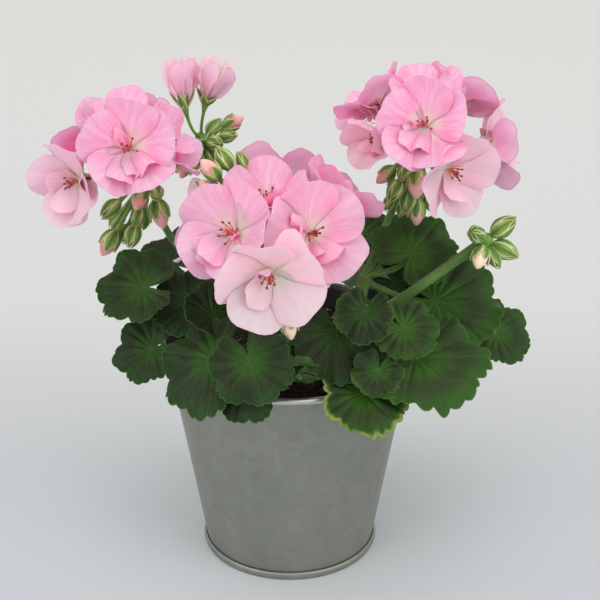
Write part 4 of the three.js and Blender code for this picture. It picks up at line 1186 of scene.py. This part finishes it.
# The florets: five broad, overlapping petals each, thin and ruffled at the margin, with small curled ones
# inside. They are cream at the throat and pink outwards, the lower ones most of all halfway out and the
# upper two towards the margin, and on the upper two fine red lines run out from the throat.
PETALS, PETAL_WIDTH, CLOSED_WIDTH = 5, 0.57, 0.16
PETAL_BEND, PETAL_HOLLOW, PETAL_TWIST = 0.16, 0.1, 0.2
PETAL_THICKNESS, PETAL_ROOT = 0.32, 0.05
PETAL_ROWS, PETAL_COLUMNS, PETAL_FAN = 17, 27, 166  # PETAL_FAN is in degrees, to each side of the tip
PETAL_UNEVEN = 5  # degrees that a petal's turn and opening may be off by
CORE_SPAN, CORE_RADII = (-1.6, 1.3), (1.9, 2.2, 2.1, 1.6, 0.9)
NEARLY_UP = 0.95  # a floret whose axis rises more than this takes its right from Y, not Z
UPPER_FROM = 0.45  # how high round the floret a petal stands, from -1 to 1, if it is an upper one
INNER_TURNS = (198, 234, 270, 306, 342)  # degrees
FIRST_SEED, SEEDS_A_HEAD = 101, 10
SERIES_FACTOR, SERIES_END = 16807, 2147483647


def series(seed):
    """The fixed series of numbers between -1 and 1 that turns the petals."""
    state = seed
    while True:
        state = state * SERIES_FACTOR % SERIES_END
        yield state / SERIES_END * 2 - 1


def petal(middle, face, reach, opening, turn, draw, width=1.0, hollow=PETAL_HOLLOW, bend=PETAL_BEND):
    """A petal from its root in the floret's middle, turned about the floret's axis. It fans out from its
    root, so that its uv runs across it and from the root to the margin."""
    axis = polar(*face)
    right = unit(np.cross((0, 1, 0) if abs(axis[2]) > NEARLY_UP else (0, 0, 1), axis))
    radial = right * math.cos(turn) + np.cross(axis, right) * math.sin(turn)
    wide = math.radians(opening)
    y = radial * math.sin(wide) + axis * math.cos(wide)
    flat_x = np.cross(axis, radial)
    flat_z = np.cross(flat_x, y)
    x = flat_x * math.cos(PETAL_TWIST) + flat_z * math.sin(PETAL_TWIST)
    z = flat_z * math.cos(PETAL_TWIST) - flat_x * math.sin(PETAL_TWIST)
    half = PETAL_WIDTH * min(1, CLOSED_WIDTH + opening / 90) * reach * width
    round_turn = np.radians(np.linspace(-PETAL_FAN, PETAL_FAN, PETAL_COLUMNS))
    low = np.cos(round_turn) < 0
    edge_across = np.sin(round_turn) * np.where(low, 1 + 0.28 * np.cos(round_turn), 1)
    edge_along = 0.6 + np.where(low, 0.6, 0.4) * np.cos(round_turn)
    edge_along -= draw.uniform(0, 0.035) * np.exp(-((round_turn / 0.3) ** 2))
    edge_along += 0.012 * np.sin(5 * round_turn + draw.uniform(0, 6))
    edge_across *= 1 + 0.03 * np.sin(3 * round_turn + draw.uniform(0, 6))
    share = np.linspace(0, 1, PETAL_ROWS)[:, None] ** 0.9
    across = share * edge_across
    along = PETAL_ROOT + share * (edge_along - PETAL_ROOT)
    across = np.where(share == 0, 0.05 * np.sin(round_turn), across)
    height = -bend * along**3 + hollow * across**2 * along * (1 - along)
    height += hollow * 0.9 * across**2 * share**2 * draw.uniform(-0.6, 1.2)
    height -= 0.03 * np.exp(-((across / 0.16) ** 2)) * share * (1 - share) * 3
    waves = draw.integers(3, 6)
    height += 0.035 * share**4 * np.sin(waves * round_turn + draw.uniform(0, 6))
    height += 0.014 * share**6 * np.sin((2 * waves + 3) * round_turn + draw.uniform(0, 6))
    height += 0.02 * share**2 * draw.uniform(-1, 1) * across
    grid = half * across[..., None] * x + reach * along[..., None] * y + reach * height[..., None] * z
    u, v = np.meshgrid(np.linspace(0, 1, PETAL_COLUMNS), share[:, 0])
    made = shell(np.array(middle) + grid, PETAL_THICKNESS * (1 - 0.45 * v**2), uv=np.stack([u, v], -1))
    made["back"] = np.repeat([0.0, 1.0], grid[..., 0].size)
    return made


def painted(form, blush, streaks):
    """A petal with how pink it is, and how strong its red streaks are."""
    count = len(form["points"])
    return {**form, "blush": np.full(count, blush), "streaks": np.full(count, streaks)}


def floret(seed, middle, face, reach, opening, turn, inner, pale):
    turns, draw = series(seed), np.random.default_rng(seed)
    axis, is_open = polar(*face), opening > OPEN_FROM
    core = tube(np.array(middle) + axis * np.linspace(*CORE_SPAN, 6)[:, None], CORE_RADII, 12)
    count = len(core["points"])
    core = {**core, "uv": np.full((count, 2), (0.5, 0.02)), "back": np.zeros(count)}
    parts = [painted(core, 0.0, 0.0)]
    for k in range(PETALS):
        at = math.radians(turn + 360 / PETALS * k + PETAL_UNEVEN * next(turns))
        upper = math.sin(at) > UPPER_FROM
        made = petal(middle, face, reach, opening + PETAL_UNEVEN * next(turns), at, draw)
        parts.append(painted(made, draw.uniform(0.25, 0.6) + (0 if upper else 0.2), 1.0 if upper else 0.12))
    # Inner petals stand in front of the lower ones: a few broad ones, then small crumpled ones at the throat
    for _ in range(inner):
        at = math.radians(draw.choice(INNER_TURNS) + draw.uniform(-14, 14))
        broad = reach * draw.uniform(0.62, 0.84)
        lift, bend = draw.uniform(12, 26), draw.uniform(-0.12, 0.22)
        hollow = draw.uniform(0.2, 0.45)
        made = petal(middle, face, broad, opening - lift, at, draw, width=0.92, hollow=hollow, bend=bend)
        parts.append(painted(made, draw.uniform(0.5, 0.85), 0.1))
    for _ in range(draw.integers(1, 4) if is_open else 0):
        at = math.radians(turn + 36 + 72 * draw.integers(0, 5) + draw.uniform(-12, 12))
        small = reach * draw.uniform(0.32, 0.5)
        opened, bend = draw.uniform(30, 50), draw.uniform(-0.5, 0.3)
        made = petal(middle, face, small, opened, at, draw, width=0.8, hollow=0.9, bend=bend)
        parts.append(painted(made, draw.uniform(0.6, 1.0), 0.1))
    form = joined(parts)
    return {**form, "pale": np.full(len(form["points"]), pale)}


def petal_finish(tree):
    place, uv = object_place(tree), piece_uv(tree)
    across, out, _ = split(uv)
    aside = off_middle(across)
    blush, streaks, pale, back = (carried(tree, name) for name in ("blush", "streaks", "pale", "back"))
    broad, small = patches(place, 70, 3, 0.25, 0.75), patches(place, 600, 3, 0.3, 0.7)
    fan = put(tree, "ShaderNodeMapping", {"Vector": uv, "Scale": (26.0, 1.3, 1.0)})
    rays = patches(vectors("ADD", fan, {1: place}), 1.6, 3, 0.36, 0.64)
    # How full the pink is over a lower petal and over an upper one, and how deep on this petal
    lower = fade(out, 0.12, 0.45) * fade(out, 0.55, 0.95, 1, 0.35)
    lower = lower + fade(aside, 0.35, 0.9) * fade(out, 0.3, 0.9, 0, 0.4)
    upper = fade(out, 0.4, 0.8, 0.05, 0.75) + fade(aside, 0.3, 0.8, 0, 0.25)
    rise = lower + (upper - lower) * streaks
    depth = calc("SUBTRACT", blush * 1.1 + 0.3, pale, clamp=True)
    soft = mixed(broad, (254, 183, 211), (251, 200, 224))
    full = mixed(broad, (255, 108, 154), (255, 132, 172))
    tone = mixed(calc("MULTIPLY", rise, depth, clamp=True), soft, full)
    tone = mixed(rays * 0.05, tone, (250, 140, 180))
    throat = mixed(fade(out, 0.12, streaks * 0.3 + 0.42), (252, 230, 222), tone)
    # The fine red lines run out from the throat, each to its own length
    wobble = put(tree, "ShaderNodeTexNoise", {"Vector": uv, "Scale": 5.0, "Detail": 1.0})
    off_line = calc("ABSOLUTE", calc("FRACT", across * 19 + wobble * 1.6) - 0.5)
    lines = fade(off_line, 0.06, 0.26, 1, 0) * fade(aside, 0.4, 0.7, 1, 0)
    lines = lines * (fade(out, 0.05, 0.1) * fade(out - wobble * 0.5, 0.02, 0.2, 1, 0)) * streaks
    behind = layered(
        mixed(rays, (253, 178, 204), (251, 152, 188)),
        (calc("MULTIPLY", pale, 0.6, clamp=True), (250, 216, 208)),
    )
    behind = mixed(fade(out, 0.05, 0.45), (244, 226, 200), behind)
    margin = fade(out, 0.955, 0.99) * 0.5
    tone = layered(throat, (lines * 0.85, (160, 40, 62)), (margin, (230, 104, 158)), (back * 0.75, behind))
    return surface(tone, small, 0.5, 0.62, (rays * 0.25 + small * 0.25, 0.2, 0.2))


silk = {"Sheen_Weight": 0.08, "Sheen_Roughness": 0.4, "Subsurface_Weight": 0.7, "Subsurface_Scale": 0.0025}
petal_skin = new_material("petal_skin", petal_finish, Subsurface_Radius=(1.0, 0.5, 0.65), **silk)
for head_order, (name, rows) in enumerate(FLORETS.items()):
    for k, row in enumerate(rows):
        label = f"{name}_{k + 1}"
        form = floret(FIRST_SEED + SEEDS_A_HEAD * head_order + k, *row)
        settle(mesh_of("petals_" + label, form, [petal_skin]), "petal", "floret_" + label)

# In each open floret stand seven or eight salmon-red stamens with dark anthers, round a pale green style
# that ends in five curled red lobes.
STAMEN = [(0, 0.4, 0), (0, 0.5, 2.4), (0, 0.7, 4.8), (0, 1.2, 7.0)]
ANTHER = [(0, 1.1, 6.8), (0, 1.3, 7.4), (0, 1.5, 8.1)]
STYLE_LOBE = [(0, 0.25, 0), (0, 0.25, 2), (0, 0.3, 4.2), (0, 0.9, 5.6), (0, 1.9, 6.0), (0, 2.5, 5.6)]


def stamen():
    thread = tube(through(STAMEN, 9), (0.32, 0.24, 0.19), 6, tip=(0, 0.3, 0.5))
    return joined([thread, tube(through(ANTHER, 6), (0.18, 0.45, 0.5, 0.42, 0.18), 7, tip=(1, 1))])


def style_lobe():
    return tube(through(STYLE_LOBE, 14), (0.42, 0.36, 0.3, 0.3, 0.26, 0.12), 6, tip=(-1, -1, 0, 0.6, 0.7))


def stamen_finish(tree):
    tip, small = carried(tree, "tip"), patches(object_place(tree), 1500, 3)
    tone = layered(
        mixed(fade(tip, -0.9, 0.1), (176, 190, 120), (226, 120, 120)),
        (fade(tip, 0.0, 0.5), mixed(small, (212, 98, 96), (192, 76, 80))),
        (fade(tip, 0.75, 1.0), (136, 52, 48)),
    )
    return {"Base Color": tone, "Roughness": fade(small, 0, 1, 0.45, 0.65)}


stamen_skin = new_material("stamen_skin", stamen_finish, Subsurface_Weight=0.2, Subsurface_Scale=0.0008)
given = {"turn_spread": 0.5, "size_spread": 0.15, "seed": 21, "finish": stamen_skin}
# Each kind: its part, how far off the floret's middle it stands, how many there are, and their tilt and
# its spread
middles = (("stamens", stamen(), 0.4, 8, 0.2, 0.6), ("styles", style_lobe(), 0.8, 5, 0.0, 0.15))
for label, part, off, count, tilt, spread in middles:
    tilting = {"count": count, "tilt": tilt, "tilt_spread": spread}
    settle(whorls(label, floret_places(off, True), part, **tilting, **given), "petal")
put_away(stem_hair)

# The studio: a wide pale floor, one large soft light overhead and two weaker ones, and the camera at the
# photograph's angle.
FLOOR_CORNERS = [(-4e3, -3e3, 0), (4e3, -3e3, 0), (4e3, 6e3, 0), (-4e3, 6e3, 0)]
LIGHTS = (  # name, place, what it is aimed at, how wide it is, watts and colour
    ("overhead", (-0.05, -0.35, 1.7), (0, 0, 0.1), 2.2, 13, (1.0, 0.99, 0.97)),
    ("left_fill", (-1.4, -1.2, 0.9), (0, 0, 0.12), 1.4, 9, (0.97, 0.99, 1.0)),
    ("right_fill", (1.4, -1.1, 0.9), (0, 0, 0.12), 1.4, 11, (1.0, 0.99, 0.97)),
)
ROOM_COLOUR, ROOM_LIGHT = (236, 238, 240), 0.9
CAMERA_PLACE, CAMERA_TILT, CAMERA_LENS, SENSOR = (0.0053, -0.972, 0.639), 62.7, 132, 36


def floor_finish(tree):
    place = object_place(tree)
    _, back, _ = split(place)
    off = vectors("LENGTH", place, {}, "Value")
    # Painted light: the floor is painted lighter near the pot, a painted pool of light against the pot's
    # shadow, and lighter towards the back, a painted falloff of the light
    tone = layered(
        mixed(fade(off, 0.04, 0.26), (202, 205, 208), (176, 180, 186)),
        (fade(back, -0.12, 0.3), (206, 206, 204)),
        (fade(back, 0.2, 0.9), (215, 214, 209)),
    )
    return {"Base Color": tone}


paper = new_material("paper", floor_finish, Roughness=0.9)
floor = mesh_of("floor", {"points": np.array(FLOOR_CORNERS, float), "faces": [(0, 1, 2, 3)]}, [paper])
floor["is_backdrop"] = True
for name, place, aim, size, watts, colour in LIGHTS:
    light = bpy.data.lights.new(name, "AREA")
    light.shape, light.size, light.energy, light.color = "DISK", size, watts, colour
    made = shown(name, light)
    x, y, z = np.array(aim, float) - np.array(place, float)
    made.location, made.rotation_euler = place, (math.atan2(math.hypot(x, y), -z), 0, math.atan2(-x, y))
world = bpy.data.worlds.new("soft_room")
world.use_nodes = True
background = world.node_tree.nodes["Background"].inputs
background["Color"].default_value, background["Strength"].default_value = paint(*ROOM_COLOUR), ROOM_LIGHT
bpy.context.scene.world = world
bpy.context.scene.view_settings.view_transform = "Standard"
lens = bpy.data.cameras.new("eye")
lens.lens, lens.sensor_width = CAMERA_LENS, SENSOR
camera = shown("eye", lens)
camera.location, camera.rotation_euler = CAMERA_PLACE, (math.radians(CAMERA_TILT), 0, 0)
bpy.context.scene.camera = camera

sizes = {"cad": [list(corner) for corner in cad_box], "visual": [list(corner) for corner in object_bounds()]}
